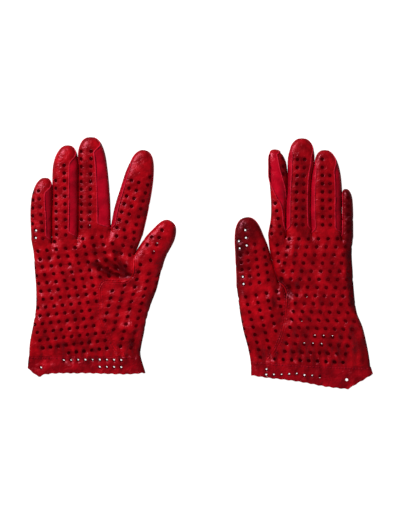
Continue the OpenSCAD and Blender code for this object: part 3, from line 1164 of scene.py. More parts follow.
@dataclass(frozen=True)
class Hand:
    """A glove: trank, thumb gusset and hem from one height field, and its digits.

    ulnar and radial are the edges on the sides of the little finger and of the thumb,
    web the edge between thumb and index finger. palm_seam and back_seam join the trank
    to the gusset. The hem hangs from hem_top to palm_hem and back_hem. hem_rows are the
    hem's rows of holes: height, first and last place, and pitch. pinholes are the palm's
    holes through which the floor shows.
    """

    side: Side
    digits: tuple[Digit, ...]
    ulnar: tuple[Pair, ...]
    radial: tuple[Pair, ...]
    palm_seam: tuple[Pair, ...]
    back_seam: tuple[Pair, ...]
    web: tuple[Pair, ...]
    hem_top: tuple[Pair, ...]
    palm_hem: tuple[Pair, ...]
    back_hem: tuple[Pair, ...]
    palm_holes: Lattice
    index_holes: Lattice
    gusset_holes: Lattice
    hem_rows: tuple[tuple[float, float, float, float], ...]
    creases: tuple[Crease, ...]
    painted_light: tuple[PaintedLight, ...]
    pinholes: tuple[Pair, ...]
    seed: int
    tables: dict[str, Array] = field(default_factory=dict, compare=False)

    @property
    def outward(self) -> int:
        """Sign of the direction from the thumb to the little finger, along X."""
        return -1 if self.side is Side.RIGHT else 1

    def prepare(self) -> None:
        """Works out the lines that the panels share."""
        t = self.tables
        pinky, _, middle, index, thumb = self.digits
        sign = self.outward
        crotch = thumb.corner(sign)
        t["ulnar"] = spline([*self.ulnar, pinky.corner(sign)], 1.0)
        t["radial"] = spline([*self.radial, thumb.corner(-sign)], 1.0)
        t["web"] = spline([crotch, *self.web, index.corner(-sign)], 1.0)
        t["palm_seam"] = spline([*self.palm_seam, crotch], 1.0)
        t["back_seam"] = spline([*self.back_seam, crotch], 1.0)
        t["hem_top"] = spline(self.hem_top, 1.0)
        roots = []
        for digit in self.digits[3::-1]:
            roots.append(np.array([digit.corner(-sign), digit.corner(sign)]))
        t["roots"] = np.vstack(roots)
        t["forks"] = np.array([(roots[k][1] + roots[k + 1][0]) / 2 for k in range(3)])
        d = np.linspace(0, 1, 400) ** 2 * EDGE_ROUND
        t["reach"] = d
        low = np.array(middle.corner(-sign)) - [sign * 6.0, 34.0]
        t["split"] = np.array([
            index.corner(sign), index.corner(-sign), self.web[0], low,
        ]) + np.array([[sign * 1.5, 8], [-sign * 3, 8], [-sign * 4, 0], [0, 0]])
        for face, tall in ((Face.PALM, DIGIT_UP), (Face.BACK, DIGIT_LOW)):
            z = tall * dome(1 - d / EDGE_ROUND)
            t[f"arc_{face.value}"] = np.concatenate(
                [[0], np.cumsum(np.hypot(np.diff(d), np.diff(z)))])

    def edge_x(self, which: str, y: Array) -> Array:
        """X of the ulnar or radial edge at each y.

        Args:
            which: "ulnar" or "radial".
            y: where.

        Returns:
            X at each y.
        """
        line = self.tables[which]
        order = np.argsort(line[:, 1])
        return np.interp(y, line[order, 1], line[order, 0])

    def levels(self, y: Array) -> tuple[Array, Array, Array]:
        """Middle height, height above it and depth below it, at full width.

        Args:
            y: where.

        Returns:
            The three heights at each y.
        """
        t = smooth(y, -92, -58)
        return (HEM_MID + (DIGIT_MID - HEM_MID) * t, HEM_UP + (DIGIT_UP - HEM_UP) * t,
                HEM_LOW + (DIGIT_LOW - HEM_LOW) * t)

    def reach(self, p: Array) -> Array:
        """How far points of the plan are from the hand's edges.

        Args:
            p: points of the plan.

        Returns:
            The distances, blended smoothly where edges meet.
        """
        t = self.tables
        sides = [
            np.maximum((self.edge_x("ulnar", p[:, 1]) - p[:, 0]) * self.outward, 0.01),
            np.maximum((p[:, 0] - self.edge_x("radial", p[:, 1])) * self.outward, 0.01),
            np.maximum(line_distance(p, t["web"]), 0.01),
        ]
        for fork in t["forks"]:
            sides.append(np.maximum(np.linalg.norm(p - fork, axis=1) - 0.4, 0.01))
        return np.array([s ** -5.0 for s in sides]).sum(0) ** -0.2

    def rise(self, p: Array) -> tuple[Array, Array]:
        """Share of the full height, and how much a finger's root decides it.

        Args:
            p: points of the plan.

        Returns:
            The two shares at each point.
        """
        share = dome(1 - np.clip(self.reach(p) / EDGE_ROUND, 0, 1))
        rooted = np.zeros(len(p))
        for digit in self.digits:
            x, v = digit.local(p)
            zero = np.zeros(1)
            q = (x - digit.shift(zero)[0]) / digit.width(zero)[0]
            weight = np.where((np.abs(q) <= 1.02) & (v <= 0.01) & (v > -ROOT_FADE),
                              1 - smooth(-v, 0, ROOT_FADE), 0)
            tall = digit.up / DIGIT_UP
            share = share * (1 - weight) + dome(q) * tall * weight
            rooted = np.maximum(rooted, weight)
        return share, rooted

    def height(self, p: Array, palm: Array) -> tuple[Array, Array]:
        """Height of the outer leather above the floor, and of the middle plane.

        Args:
            p: points of the plan.
            palm: True where the palm is meant, False for the back.

        Returns:
            The outer height and the middle height at each point.
        """
        t = self.tables
        mid, up, low = self.levels(p[:, 1])
        share, rooted = self.rise(p)
        free = share * (1 - rooted)
        cuff = smooth(-p[:, 1], 66, 84) * (1 - 0.7 * smooth(-p[:, 1], 88, 95))
        ripple = np.sin(p[:, 0] * 2 * math.pi / GATHER_WAVE + 1.3 * np.sin(p[:, 0] / 9)
                        + p[:, 1] * 0.05)
        creasing = wrinkles(p, self.seed + 2) * 0.5
        top = up * share + free * (dents(p, self.seed) * 0.9 + creasing + ripple * cuff * 0.7)
        bottom = low * share + free * (dents(p, self.seed + 1) * 0.3 + ripple * cuff * 0.2)
        for crease in self.creases:
            away = line_distance(p, spline(crease.line, 2.0))
            shape = crease.height * np.exp(-((away / crease.width) ** 2)) * free
            if crease.face is Face.PALM:
                top = top + shape
            else:
                bottom = bottom + shape
        for name, face in SEAM_FACES.items():
            away = line_distance(p, t[name][::3]) / SEAM_GROOVE_WIDTH
            groove = SEAM_GROOVE * np.exp(-(away ** 2)) * free
            if face is Face.PALM:
                top = top - groove
            else:
                bottom = bottom - groove
        top, bottom = np.maximum(top, 0.3), np.maximum(bottom, 0.3)
        z = np.where(palm, mid + top, mid - bottom)
        return np.maximum(z, LOWEST), mid

    def to_leather(self, which: str, p: Array, face: Face) -> Array:
        """Points of a folded panel's flat leather from points of the plan.

        Args:
            which: "ulnar" or "radial", the edge that the panel folds at.
            p: points of the plan.
            face: the palm or the back.

        Returns:
            Points of the flat leather: the palm has positive first coordinates.
        """
        inward = -self.outward if which == "ulnar" else self.outward
        d = np.maximum((p[:, 0] - self.edge_x(which, p[:, 1])) * inward, 0)
        arc = self.tables[f"arc_{face.value}"]
        s = np.interp(d, self.tables["reach"], arc) + np.maximum(d - EDGE_ROUND, 0)
        return np.column_stack([s * face.value, p[:, 1]])

    def lattice_to_leather(self, which: str, p: Array, face: Face) -> Array:
        """The same for holes: their spacing stays even where the leather turns over.

        Args:
            which: "ulnar" or "radial", the edge that the panel folds at.
            p: points of the plan.
            face: the palm or the back.

        Returns:
            Place and radius of each hole in the flat leather.
        """
        inward = -self.outward if which == "ulnar" else self.outward
        d = (p[:, 0] - self.edge_x(which, p[:, 1])) * inward
        s = d + self.tables[f"arc_{face.value}"][-1] - EDGE_ROUND
        keep = s > (-1.0 if face is Face.PALM else 5.0)
        radius = np.full(keep.sum(), HOLE_RADIUS)
        return np.column_stack([s[keep] * face.value, p[keep, 1], radius])

    def to_plan(self, which: str, spots: Array) -> Array:
        """Points of the plan from points of a folded panel's flat leather.

        Args:
            which: "ulnar" or "radial", the edge that the panel folds at.
            spots: points of the flat leather.

        Returns:
            The points.
        """
        inward = -self.outward if which == "ulnar" else self.outward
        d = np.zeros(len(spots))
        for face in Face:
            pick = (spots[:, 0] >= 0) == (face is Face.PALM)
            arc = self.tables[f"arc_{face.value}"]
            s = np.abs(spots[pick, 0])
            d[pick] = (np.interp(s, arc, self.tables["reach"])
                       + np.maximum(s - arc[-1], 0))
        x = self.edge_x(which, spots[:, 1]) + inward * d
        return np.column_stack([x, spots[:, 1]])

    def placer(self, which: str, lift: float = 0.0) -> Place:
        """The function that lays a folded panel on the hand.

        Args:
            which: "ulnar" or "radial", the edge that the panel folds at.
            lift: how far the leather lies above the hand.

        Returns:
            The function.
        """

        def place(spots: Array) -> tuple[Array, Array]:
            """Where points of the leather lie, and points of the middle plane.

            Args:
                spots: points of the flat leather.

            Returns:
                The two sets of points.
            """
            p = self.to_plan(which, spots)
            palm = spots[:, 0] >= 0
            z, mid = self.height(p, palm)
            z = np.where(palm, z + lift, np.maximum(z - lift * 0.5, LOWEST))
            at_fold = np.exp(-np.abs(spots[:, 0]) * 2.0)
            z = z * (1 - at_fold) + mid * at_fold
            return np.column_stack([p, z]), np.column_stack([p, mid])

        return place

    def thinner(self, which: str, thickness: float) -> Callable[[Array], Array]:
        """The share of its thickness that leather keeps where the hand is flat.

        Args:
            which: "ulnar" or "radial", the edge that the panel folds at.
            thickness: the full thickness.

        Returns:
            The function that gives the share.
        """

        def share(spots: Array) -> Array:
            """Share of the thickness at points of the flat leather.

            Args:
                spots: points of the flat leather.

            Returns:
                The share at each point.
            """
            p = self.to_plan(which, spots)
            z, mid = self.height(p, spots[:, 0] >= 0)
            room = np.abs(z - mid) + 2.5 * np.exp(-np.abs(spots[:, 0]) / 2.0)
            return np.clip(room / thickness, 0.12, 1)

        return share

    def tone_and_painted_light(self, points: Array) -> Array:
        """Brightness of the colour: random variation, painted shade where the palm side turns
        down at its edges, forks and folds, painted highlights on ridges, and painted light and
        shade along the listed lines.

        Args:
            points: points of the glove.

        Returns:
            The brightness at each point.
        """
        p = points[:, :2]
        palm = points[:, 2] >= self.levels(p[:, 1])[0] - 1.0
        mid, up, _ = self.levels(p[:, 1])
        # painted shade: the palm side is darkened where it comes down to its middle height, at
        # its edges, forks and valleys; the dents give a random variation of the colour
        turned = 1 - np.clip(np.abs(points[:, 2] - mid) / up, 0, 1)
        value = 1 + 0.13 * dents(p * 1.3, self.seed + 7) - 0.5 * turned**2 * palm
        # painted shade in the folds and painted highlights on the ridges, by the height of each
        # crease
        for crease in self.creases:
            away = line_distance(p, spline(crease.line, 2.0))
            same = palm == (crease.face is Face.PALM)
            value += (0.3 * np.clip(crease.height / 2, -1.4, 0.5) * same
                      * np.exp(-((away / crease.width) ** 2)))
        # painted shade and painted highlights along the listed lines
        for shade in self.painted_light:
            away = line_distance(p, spline(shade.line, 2.0))
            value += shade.amount * palm * np.exp(-((away / shade.width) ** 2))
        return np.clip(value, 0.25, 1.35)

    def trank(self, kit: "Kit") -> None:
        """Makes the palm and back, one piece folded at the little finger's side.

        Args:
            kit: the materials.
        """
        t = self.tables
        top_line = t["hem_top"]
        halves = []
        for seam, face in SEAM_FACES.items():
            start = t[seam][0]
            along = top_line[(top_line[:, 0] - start[0]) * self.outward > 0.5]
            bottom = np.vstack([along, [start]])
            plan = [bottom, t[seam], t["web"], t["roots"]]
            halves.append([self.to_leather("ulnar", line, face) for line in plan])
        palm, back = halves
        for half in halves:  # the two halves meet along the fold, at 0
            half[0][0, 0] = 0
            half[3][-1, 0] = 0
        outline = palm[:3]
        for roots in (palm[3], back[3][::-1]):
            outline += [roots[k : k + 2] for k in range(len(roots) - 1)]
        outline += [line[::-1] for line in back[2::-1]]
        holes = [
            self.lattice_to_leather("ulnar", self.palm_spots(), Face.PALM),
            self.lattice_to_leather("ulnar", self.back_spots(self.palm_holes), Face.BACK),
        ]
        if self.pinholes:
            front = self.palm_spots()
            wanted = np.array(self.pinholes)
            near = front[np.linalg.norm(wanted[:, None] - front[None], axis=2).argmin(1)]
            small = self.lattice_to_leather("ulnar", near + PINHOLE_SHIFT, Face.BACK)
            small[:, 2] = PALM_PINHOLE
            holes.insert(0, small)
        panel = Panel(outline, np.vstack(holes), self.placer("ulnar"), self.tone_and_painted_light,
                      thin=self.thinner("ulnar", LEATHER))
        parts = MeshParts()
        panel.mesh(parts)
        for name, face in SEAM_FACES.items():
            line, out = self.on_surface(t[name], face)
            add_welt(parts, line - out * 0.1, out, HAND_WELT, flatten=0.8)
            add_stitches(parts, *self.beside(t[name], face, STITCH_OFFSET))
        for fork in t["forks"]:
            self.bridge(parts, fork)
        self.sew(parts, "trank", kit.leather(), "glove_leather", "palm_panel", "back_panel")

    def bridge(self, parts: MeshParts, fork: Array) -> None:
        """Adds the little worked bar that holds a fork between two fingers.

        Args:
            parts: where the mesh goes.
            fork: the fork, in the plan.
        """
        p = fork + np.column_stack([np.linspace(-2.4, 2.4, 9), np.full(9, -0.6)])
        line = np.column_stack([p, np.full(9, DIGIT_MID + 0.2)])
        up = np.tile([0.0, 0.0, 1.0], (9, 1))
        add_welt(parts, line, up, 0.7)

    def palm_spots(self) -> Array:
        """Plan points of the palm's holes.

        Returns:
            The points, the index finger's own rows included.
        """
        main = self.palm_holes.points(range(-6, 8), range(-4, 15))
        side = self.index_holes.points(range(-1, 4), range(-1, 8))
        cut = self.tables["split"]
        return np.vstack([main[~inside(main, cut)], side[inside(side, cut)]])

    def gusset_spots(self) -> Array:
        """Plan points of the gusset's holes on the palm's side."""
        return self.gusset_holes.points(range(-2, 7), range(-5, 13))

    def back_spots(self, lattice: Lattice) -> Array:
        """Plan points of a lattice of the back, none right behind a hole of the palm.

        Args:
            lattice: the lattice of the palm or of the gusset.

        Returns:
            The points.
        """
        spots = lattice.points(range(-6, 12), range(-5, 15), (0.5, 0.5))
        front = np.vstack([self.palm_spots(), self.gusset_spots()])
        for _ in range(6):
            gap = spots[:, None] - front[None]
            far = np.linalg.norm(gap, axis=2)
            near = far.argmin(1)
            rows = np.arange(len(spots))
            step = np.maximum(2 * HOLE_RADIUS + 0.5 - far[rows, near], 0) * 0.7
            away = gap[rows, near] / np.maximum(far[rows, near], 0.2)[:, None]
            spots = spots + away * step[:, None]
        far = np.linalg.norm(spots[:, None] - front[None], axis=2).min(1)
        return spots[far > 2 * HOLE_RADIUS]

    def on_surface(self, p: Array, face: Face) -> tuple[Array, Array]:
        """Points of the plan raised to the leather, with the direction away from it.

        Args:
            p: points of the plan.
            face: the palm or the back.

        Returns:
            The points and the directions.
        """
        flags = np.full(len(p), face is Face.PALM)
        z, _ = self.height(p, flags)
        step = 0.4
        zx, _ = self.height(p + [step, 0], flags)
        zy, _ = self.height(p + [0, step], flags)
        out = np.column_stack([-(zx - z) / step, -(zy - z) / step, np.ones(len(p))])
        if face is Face.BACK:
            out = -out
        out /= np.linalg.norm(out, axis=1)[:, None]
        return np.column_stack([p, z]), out

    def beside(self, p: Array, face: Face, shift: float) -> tuple[Array, Array]:
        """A line on the leather at a distance beside another.

        Args:
            p: the line, in the plan.
            face: the palm or the back.
            shift: the distance, to the left where positive.

        Returns:
            Its points and the directions away from the leather.
        """
        along = np.gradient(p, axis=0)
        along /= np.maximum(np.linalg.norm(along, axis=1), 1e-9)[:, None]
        moved = p + np.column_stack([-along[:, 1], along[:, 0]]) * shift
        return self.on_surface(moved[2:-2], face)

    def gusset(self, kit: "Kit") -> None:
        """Makes the leather round the base of the thumb, folded at the thumb's side.

        Args:
            kit: the materials.
        """
        t = self.tables
        sign = self.outward
        thumb = self.digits[4]
        top_line = t["hem_top"]
        halves = []
        for seam, face in SEAM_FACES.items():
            start = t[seam][0]
            along = top_line[(start[0] - top_line[:, 0]) * sign > 0.5][::-1]
            bottom = np.vstack([along, [start]])
            root = np.array([thumb.corner(sign), thumb.corner(-sign)])
            root = root[0] + (root[1] - root[0]) * np.linspace(0, 1, 24)[:, None]
            plan = [bottom, t[seam], root]
            halves.append([self.to_leather("radial", line, face) for line in plan])
        palm, back = halves
        for half in halves:
            half[0][0, 0] = 0
            half[2][-1, 0] = 0
        outline = [*palm, *[line[::-1] for line in back[::-1]]]
        holes = [
            self.lattice_to_leather("radial", self.gusset_spots(), Face.PALM),
            self.lattice_to_leather("radial", self.back_spots(self.gusset_holes), Face.BACK),
        ]
        panel = Panel(outline, np.vstack(holes), self.placer("radial"), self.tone_and_painted_light,
                      thin=self.thinner("radial", LEATHER))
        parts = MeshParts()
        panel.mesh(parts)
        for name, face in SEAM_FACES.items():
            add_stitches(parts, *self.beside(t[name], face, -STITCH_OFFSET))
        self.sew(parts, "gusset", kit.leather(), "glove_leather", "thumb_gusset")

    def hem(self, kit: "Kit") -> None:
        """Makes the turned-over band, folded at the thumb's side, open at the vent.

        Args:
            kit: the materials.
        """
        top = self.tables["hem_top"]
        halves = []
        for face, low in ((Face.PALM, self.palm_hem), (Face.BACK, self.back_hem)):
            low_line = spline(low, 1.0) - [0.0, HEM_BELOW]
            low_line[:, 1] += HEM_WAVE_SIZE * np.sin(low_line[:, 0] * 2 * math.pi / HEM_WAVE)
            plan = [low_line, np.array([low_line[-1], top[0]]), top]
            flat = [self.to_leather("radial", line, face) for line in plan]
            flat[0][0, 0] = 0
            flat[2][-1, 0] = 0
            halves.append(flat)
        palm, back = halves
        outline = [*palm, *[line[::-1] for line in back[::-1]]]
        holes = []
        for y, first, last, pitch in self.hem_rows:
            row = np.arange(first, last, pitch)
            spots = np.column_stack([row, y + 0.5 * np.sin(row)])
            for face, radius, shift in ((Face.PALM, HEM_FRONT_HOLE, 0.0),
                                        (Face.BACK, HEM_BACK_HOLE, 0.5)):
                flat = self.to_leather("radial", spots + [0.0, shift], face)
                holes.append(np.column_stack([flat, radius + 0.12 * np.sin(2.3 * row)]))
        panel = Panel(outline, np.vstack(holes), self.placer("radial", HEM_LIFT), self.tone_and_painted_light,
                      HEM_LEATHER, self.thinner("radial", HEM_LEATHER))
        parts = MeshParts()
        panel.mesh(parts)
        for face in Face:
            raised, out = self.on_surface((top - [0, HEM_STITCH_DROP])[2:-2], face)
            add_stitches(parts, raised + out * 0.45, out)
        self.sew(parts, "hem", kit.hem(), "hem_leather", "hem_front", "hem_back")

    def sew(self, parts: MeshParts, label: str, materials: Sequence[bpy.types.Material],
            slot: str, *cad_nodes: str) -> None:
        """Makes a piece of the hand from its mesh.

        Args:
            parts: the mesh.
            label: the piece's name, without the side.
            materials: one material for each Layer.
            slot: not used.
            cad_nodes: the CAD nodes in whose place it stands, without the side.
        """
        side = self.side.value
        obj = parts.build(f"{side}_{label}", materials)
        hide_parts(*(f"{side}_{name}" for name in cad_nodes))
        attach(obj, f"{side}_hand")
        LOG.info("made %s", obj.name)

    def build(self, kit: "Kit") -> None:
        """Makes the whole glove.

        Args:
            kit: the materials.
        """
        self.prepare()
        self.trank(kit)
        self.gusset(kit)
        self.hem(kit)
        for k, digit in enumerate(self.digits):
            digit.build(kit, self.seed + 11 * (k + 1), self.tone_and_painted_light)
        kit.dress_elastic(f"{self.side.value}_wrist_elastic")


# ---------------------------------------------------------------- materials


def node_group(name: str, inputs: Sequence[tuple[str, str, float | tuple]],
               outputs: Sequence[tuple[str, str]]) -> tuple[bpy.types.NodeTree, object, object]:
    """Starts a shader node group.

    Args:
        name: the group's name.
        inputs: name, socket type and default of each input.
        outputs: name and socket type of each output.

    Returns:
        The group, its input node and its output node.
    """
    group = bpy.data.node_groups.new(name, "ShaderNodeTree")
    for label, kind, default in inputs:
        socket = group.interface.new_socket(label, in_out="INPUT", socket_type=kind)
        socket.default_value = default
    for label, kind in outputs:
        group.interface.new_socket(label, in_out="OUTPUT", socket_type=kind)
    return group, group.nodes.new("NodeGroupInput"), group.nodes.new("NodeGroupOutput")


def node(tree: bpy.types.NodeTree, kind: str, **settings: object) -> bpy.types.Node:
    """Adds a node and sets its properties.

    Args:
        tree: where it goes.
        kind: the node's type.
        settings: its properties by name.

    Returns:
        The new node.
    """
    made = tree.nodes.new(kind)
    for key, value in settings.items():
        setattr(made, key, value)
    return made


def math_node(tree: bpy.types.NodeTree, operation: str, a: object, b: object) -> object:
    """Adds a Math node on two sockets or numbers and gives its result.

    Args:
        tree: where it goes.
        operation: what it works out.
        a: a socket or a number.
        b: a socket or a number.

    Returns:
        The node's output.
    """
    made = node(tree, "ShaderNodeMath", operation=operation)
    for k, value in enumerate((a, b)):
        if isinstance(value, (int, float)):
            made.inputs[k].default_value = value
        else:
            tree.links.new(value, made.inputs[k])
    return made.outputs[0]


def grain_group() -> bpy.types.NodeTree:
    """Fine pebbles, pores and soft wrinkles of dressed leather, as a height and a mask.

    Returns:
        The node group.
    """
    group, ins, outs = node_group(
        "LeatherGrain",
        [("Vector", "NodeSocketVector", (0, 0, 0)), ("Pebble Scale", "NodeSocketFloat", 1500),
         ("Wrinkle Scale", "NodeSocketFloat", 160), ("Wrinkle Amount", "NodeSocketFloat", 0.5)],
        [("Height", "NodeSocketFloat"), ("Mottle", "NodeSocketFloat")],
    )
    link = group.links.new
    pebble = node(group, "ShaderNodeTexVoronoi", feature="SMOOTH_F1")
    pebble.inputs["Smoothness"].default_value = 0.6
    link(ins.outputs["Vector"], pebble.inputs["Vector"])
    link(ins.outputs["Pebble Scale"], pebble.inputs["Scale"])
    wrinkle = node(group, "ShaderNodeTexNoise")
    wrinkle.inputs["Detail"].default_value = 2.5
    wrinkle.inputs["Distortion"].default_value = 0.8
    link(ins.outputs["Vector"], wrinkle.inputs["Vector"])
    link(ins.outputs["Wrinkle Scale"], wrinkle.inputs["Scale"])
    soft = math_node(group, "MULTIPLY", wrinkle.outputs["Fac"], ins.outputs["Wrinkle Amount"])
    fine = math_node(group, "MULTIPLY", pebble.outputs["Distance"], 0.08)
    link(math_node(group, "ADD", soft, fine), outs.inputs["Height"])
    mottle = node(group, "ShaderNodeTexNoise")
    mottle.inputs["Scale"].default_value = 120
    mottle.inputs["Detail"].default_value = 4
    link(ins.outputs["Vector"], mottle.inputs["Vector"])
    link(mottle.outputs["Fac"], outs.inputs["Mottle"])
    return group


def dye_group() -> bpy.types.NodeTree:
    """Colour of dyed leather: uneven dye in darker and lighter patches, darker towards the
    rims of the holes, and scaled by a vertex attribute that carries painted shade and
    highlights.

    Returns:
        The node group.
    """
    group, ins, outs = node_group(
        "DyedLeather",
        [("Dye", "NodeSocketColor", (0.5, 0.01, 0.03, 1)),
         ("Deep Dye", "NodeSocketColor", (0.2, 0.0, 0.01, 1)),
         ("Edge Dye", "NodeSocketColor", (0.3, 0.0, 0.02, 1)),
         ("Mottle", "NodeSocketFloat", 0.5), ("Edge Amount", "NodeSocketFloat", 0.5)],
        [("Color", "NodeSocketColor"), ("Edge", "NodeSocketFloat")],
    )
    link = group.links.new
    tone_and_painted_light = node(group, "ShaderNodeAttribute", attribute_name="tone_and_painted_light")
    edge = node(group, "ShaderNodeAttribute", attribute_name="edge")
    ramp = node(group, "ShaderNodeMapRange")
    ramp.inputs["From Min"].default_value = 0.36
    ramp.inputs["From Max"].default_value = 0.62
    link(ins.outputs["Mottle"], ramp.inputs["Value"])
    mixed = node(group, "ShaderNodeMix", data_type="RGBA")
    link(ramp.outputs["Result"], mixed.inputs["Factor"])
    link(ins.outputs["Deep Dye"], mixed.inputs["A"])
    link(ins.outputs["Dye"], mixed.inputs["B"])
    worn = node(group, "ShaderNodeMix", data_type="RGBA")
    amount = math_node(group, "MULTIPLY", edge.outputs["Fac"], ins.outputs["Edge Amount"])
    link(amount, worn.inputs["Factor"])
    link(mixed.outputs["Result"], worn.inputs["A"])
    link(ins.outputs["Edge Dye"], worn.inputs["B"])
    # painted light and shade: the colour is scaled by the vertex attribute that darkens shaded
    # places and lightens highlights
    shade = node(group, "ShaderNodeVectorMath", operation="SCALE")
    link(worn.outputs["Result"], shade.inputs[0])
    link(tone_and_painted_light.outputs["Fac"], shade.inputs["Scale"])
    link(shade.outputs["Vector"], outs.inputs["Color"])
    link(edge.outputs["Fac"], outs.inputs["Edge"])
    return group


@dataclass(frozen=True)
class Finish:
    """How one kind of leather or thread looks."""

    name: str
    dye: tuple[float, float, float]
    deep: tuple[float, float, float]
    edge: tuple[float, float, float]
    edge_amount: float = 0.5
    roughness: float = 0.42
    rough_spread: float = 0.12
    pebble: float = 1500.0
    wrinkle: float = 210.0
    wrinkle_amount: float = 1.0
    bump: float = 0.52
    bump_depth: float = 0.0014
    specular: float = 0.45
    # painted light: a faint red glow on surfaces that are no lamp, to brighten what shows
    # through the holes
    painted_glow: float = 0.0

    def material(self, groups: dict[str, bpy.types.NodeTree]) -> bpy.types.Material:
        """Builds the material.

        Args:
            groups: the shared node groups by name.

        Returns:
            The new material.
        """
        made = bpy.data.materials.new(self.name)
        made.use_nodes = True
        tree = made.node_tree
        link = tree.links.new
        shader = tree.nodes["Principled BSDF"]
        where = node(tree, "ShaderNodeTexCoord")
        grain = node(tree, "ShaderNodeGroup", node_tree=groups["grain"])
        grain.inputs["Pebble Scale"].default_value = self.pebble
        grain.inputs["Wrinkle Scale"].default_value = self.wrinkle
        grain.inputs["Wrinkle Amount"].default_value = self.wrinkle_amount
        link(where.outputs["Object"], grain.inputs["Vector"])
        dye = node(tree, "ShaderNodeGroup", node_tree=groups["dye"])
        dye.inputs["Dye"].default_value = (*self.dye, 1)
        dye.inputs["Deep Dye"].default_value = (*self.deep, 1)
        dye.inputs["Edge Dye"].default_value = (*self.edge, 1)
        dye.inputs["Edge Amount"].default_value = self.edge_amount
        link(grain.outputs["Mottle"], dye.inputs["Mottle"])
        link(dye.outputs["Color"], shader.inputs["Base Color"])
        rough = node(tree, "ShaderNodeMapRange")
        rough.inputs["To Min"].default_value = self.roughness - self.rough_spread
        rough.inputs["To Max"].default_value = self.roughness + self.rough_spread
        link(grain.outputs["Mottle"], rough.inputs["Value"])
        link(rough.outputs["Result"], shader.inputs["Roughness"])
        bump = node(tree, "ShaderNodeBump")
        bump.inputs["Strength"].default_value = self.bump
        bump.inputs["Distance"].default_value = self.bump_depth
        link(grain.outputs["Height"], bump.inputs["Height"])
        link(bump.outputs["Normal"], shader.inputs["Normal"])
        shader.inputs["Specular IOR Level"].default_value = self.specular
        shader.inputs["Specular Tint"].default_value = (1.0, 0.24, 0.36, 1)
        # painted light: the faint red glow of the inside, the cut edges and the tape
        shader.inputs["Emission Color"].default_value = (1.0, 0.004, 0.03, 1)
        shader.inputs["Emission Strength"].default_value = self.painted_glow
        return made


CRIMSON = Finish("crimson_nappa", (0.54, 0.0018, 0.0075), (0.30, 0.0006, 0.0034),
                 (0.17, 0.0, 0.003), 0.6, roughness=0.33, specular=0.44)
SMOOTH = Finish("smooth_nappa", (0.56, 0.0020, 0.017), (0.42, 0.0012, 0.012),
                (0.30, 0.001, 0.01), 0.4, roughness=0.26, wrinkle=110.0, bump=0.5,
                specular=0.45)
TURNED = Finish("hem_nappa", (0.46, 0.0018, 0.008), (0.24, 0.0008, 0.004),
                (0.13, 0.0, 0.003), 0.6, roughness=0.36, wrinkle_amount=1.3, specular=0.35)
# painted light: the inside glows faintly, so the holes show dark red rather than black
SUEDE = Finish("suede_inside", (0.30, 0.002, 0.010), (0.20, 0.001, 0.006),
               (0.20, 0.001, 0.006), 0.3, roughness=0.85, rough_spread=0.08, pebble=2600.0,
               bump=0.6, specular=0.05, painted_glow=0.035)
# painted light: the cut edges glow faintly
RAW_EDGE = Finish("cut_edge", (0.16, 0.001, 0.005), (0.10, 0.0005, 0.003),
                  (0.10, 0.0005, 0.003), 0.3, roughness=0.7, specular=0.05, painted_glow=0.03)
THREAD = Finish("sewing_thread", (0.60, 0.012, 0.035), (0.46, 0.006, 0.022),
                (0.5, 0.01, 0.03), 0.2, roughness=0.5, pebble=3200.0, bump=0.7,
                specular=0.2)
# painted light: the elastic tape glows faintly where it shows through the holes
TAPE = Finish("elastic_tape", (0.10, 0.002, 0.006), (0.06, 0.001, 0.003),
              (0.1, 0.002, 0.006), 0.2, roughness=0.8, pebble=2400.0, bump=0.7,
              specular=0.1, painted_glow=0.03)


class Kit:
    """The materials of both gloves."""

    def __init__(self) -> None:
        """Builds the shared groups and every material."""
        self.groups = {"grain": grain_group(), "dye": dye_group()}
        self.made = {f.name: f.material(self.groups) for f in
                     (CRIMSON, SMOOTH, TURNED, SUEDE, RAW_EDGE, THREAD, TAPE)}

    def layers(self, outer: Finish) -> list[bpy.types.Material]:
        """Materials for each Layer of a piece with the given outer leather."""
        return [self.made[f.name] for f in (outer, SUEDE, RAW_EDGE, THREAD)]

    def leather(self) -> list[bpy.types.Material]:
        """Materials of the punched leather."""
        return self.layers(CRIMSON)

    def smooth_leather(self) -> list[bpy.types.Material]:
        """Materials of the fourchettes."""
        return self.layers(SMOOTH)

    def hem(self) -> list[bpy.types.Material]:
        """Materials of the hem."""
        return self.layers(TURNED)

    def dress_elastic(self, name: str) -> None:
        """Gives a CAD elastic tape its dark, fine-grained finish."""
        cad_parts[name].material_slots[0].material = self.made[TAPE.name]


# ---------------------------------------------------------------- the two gloves


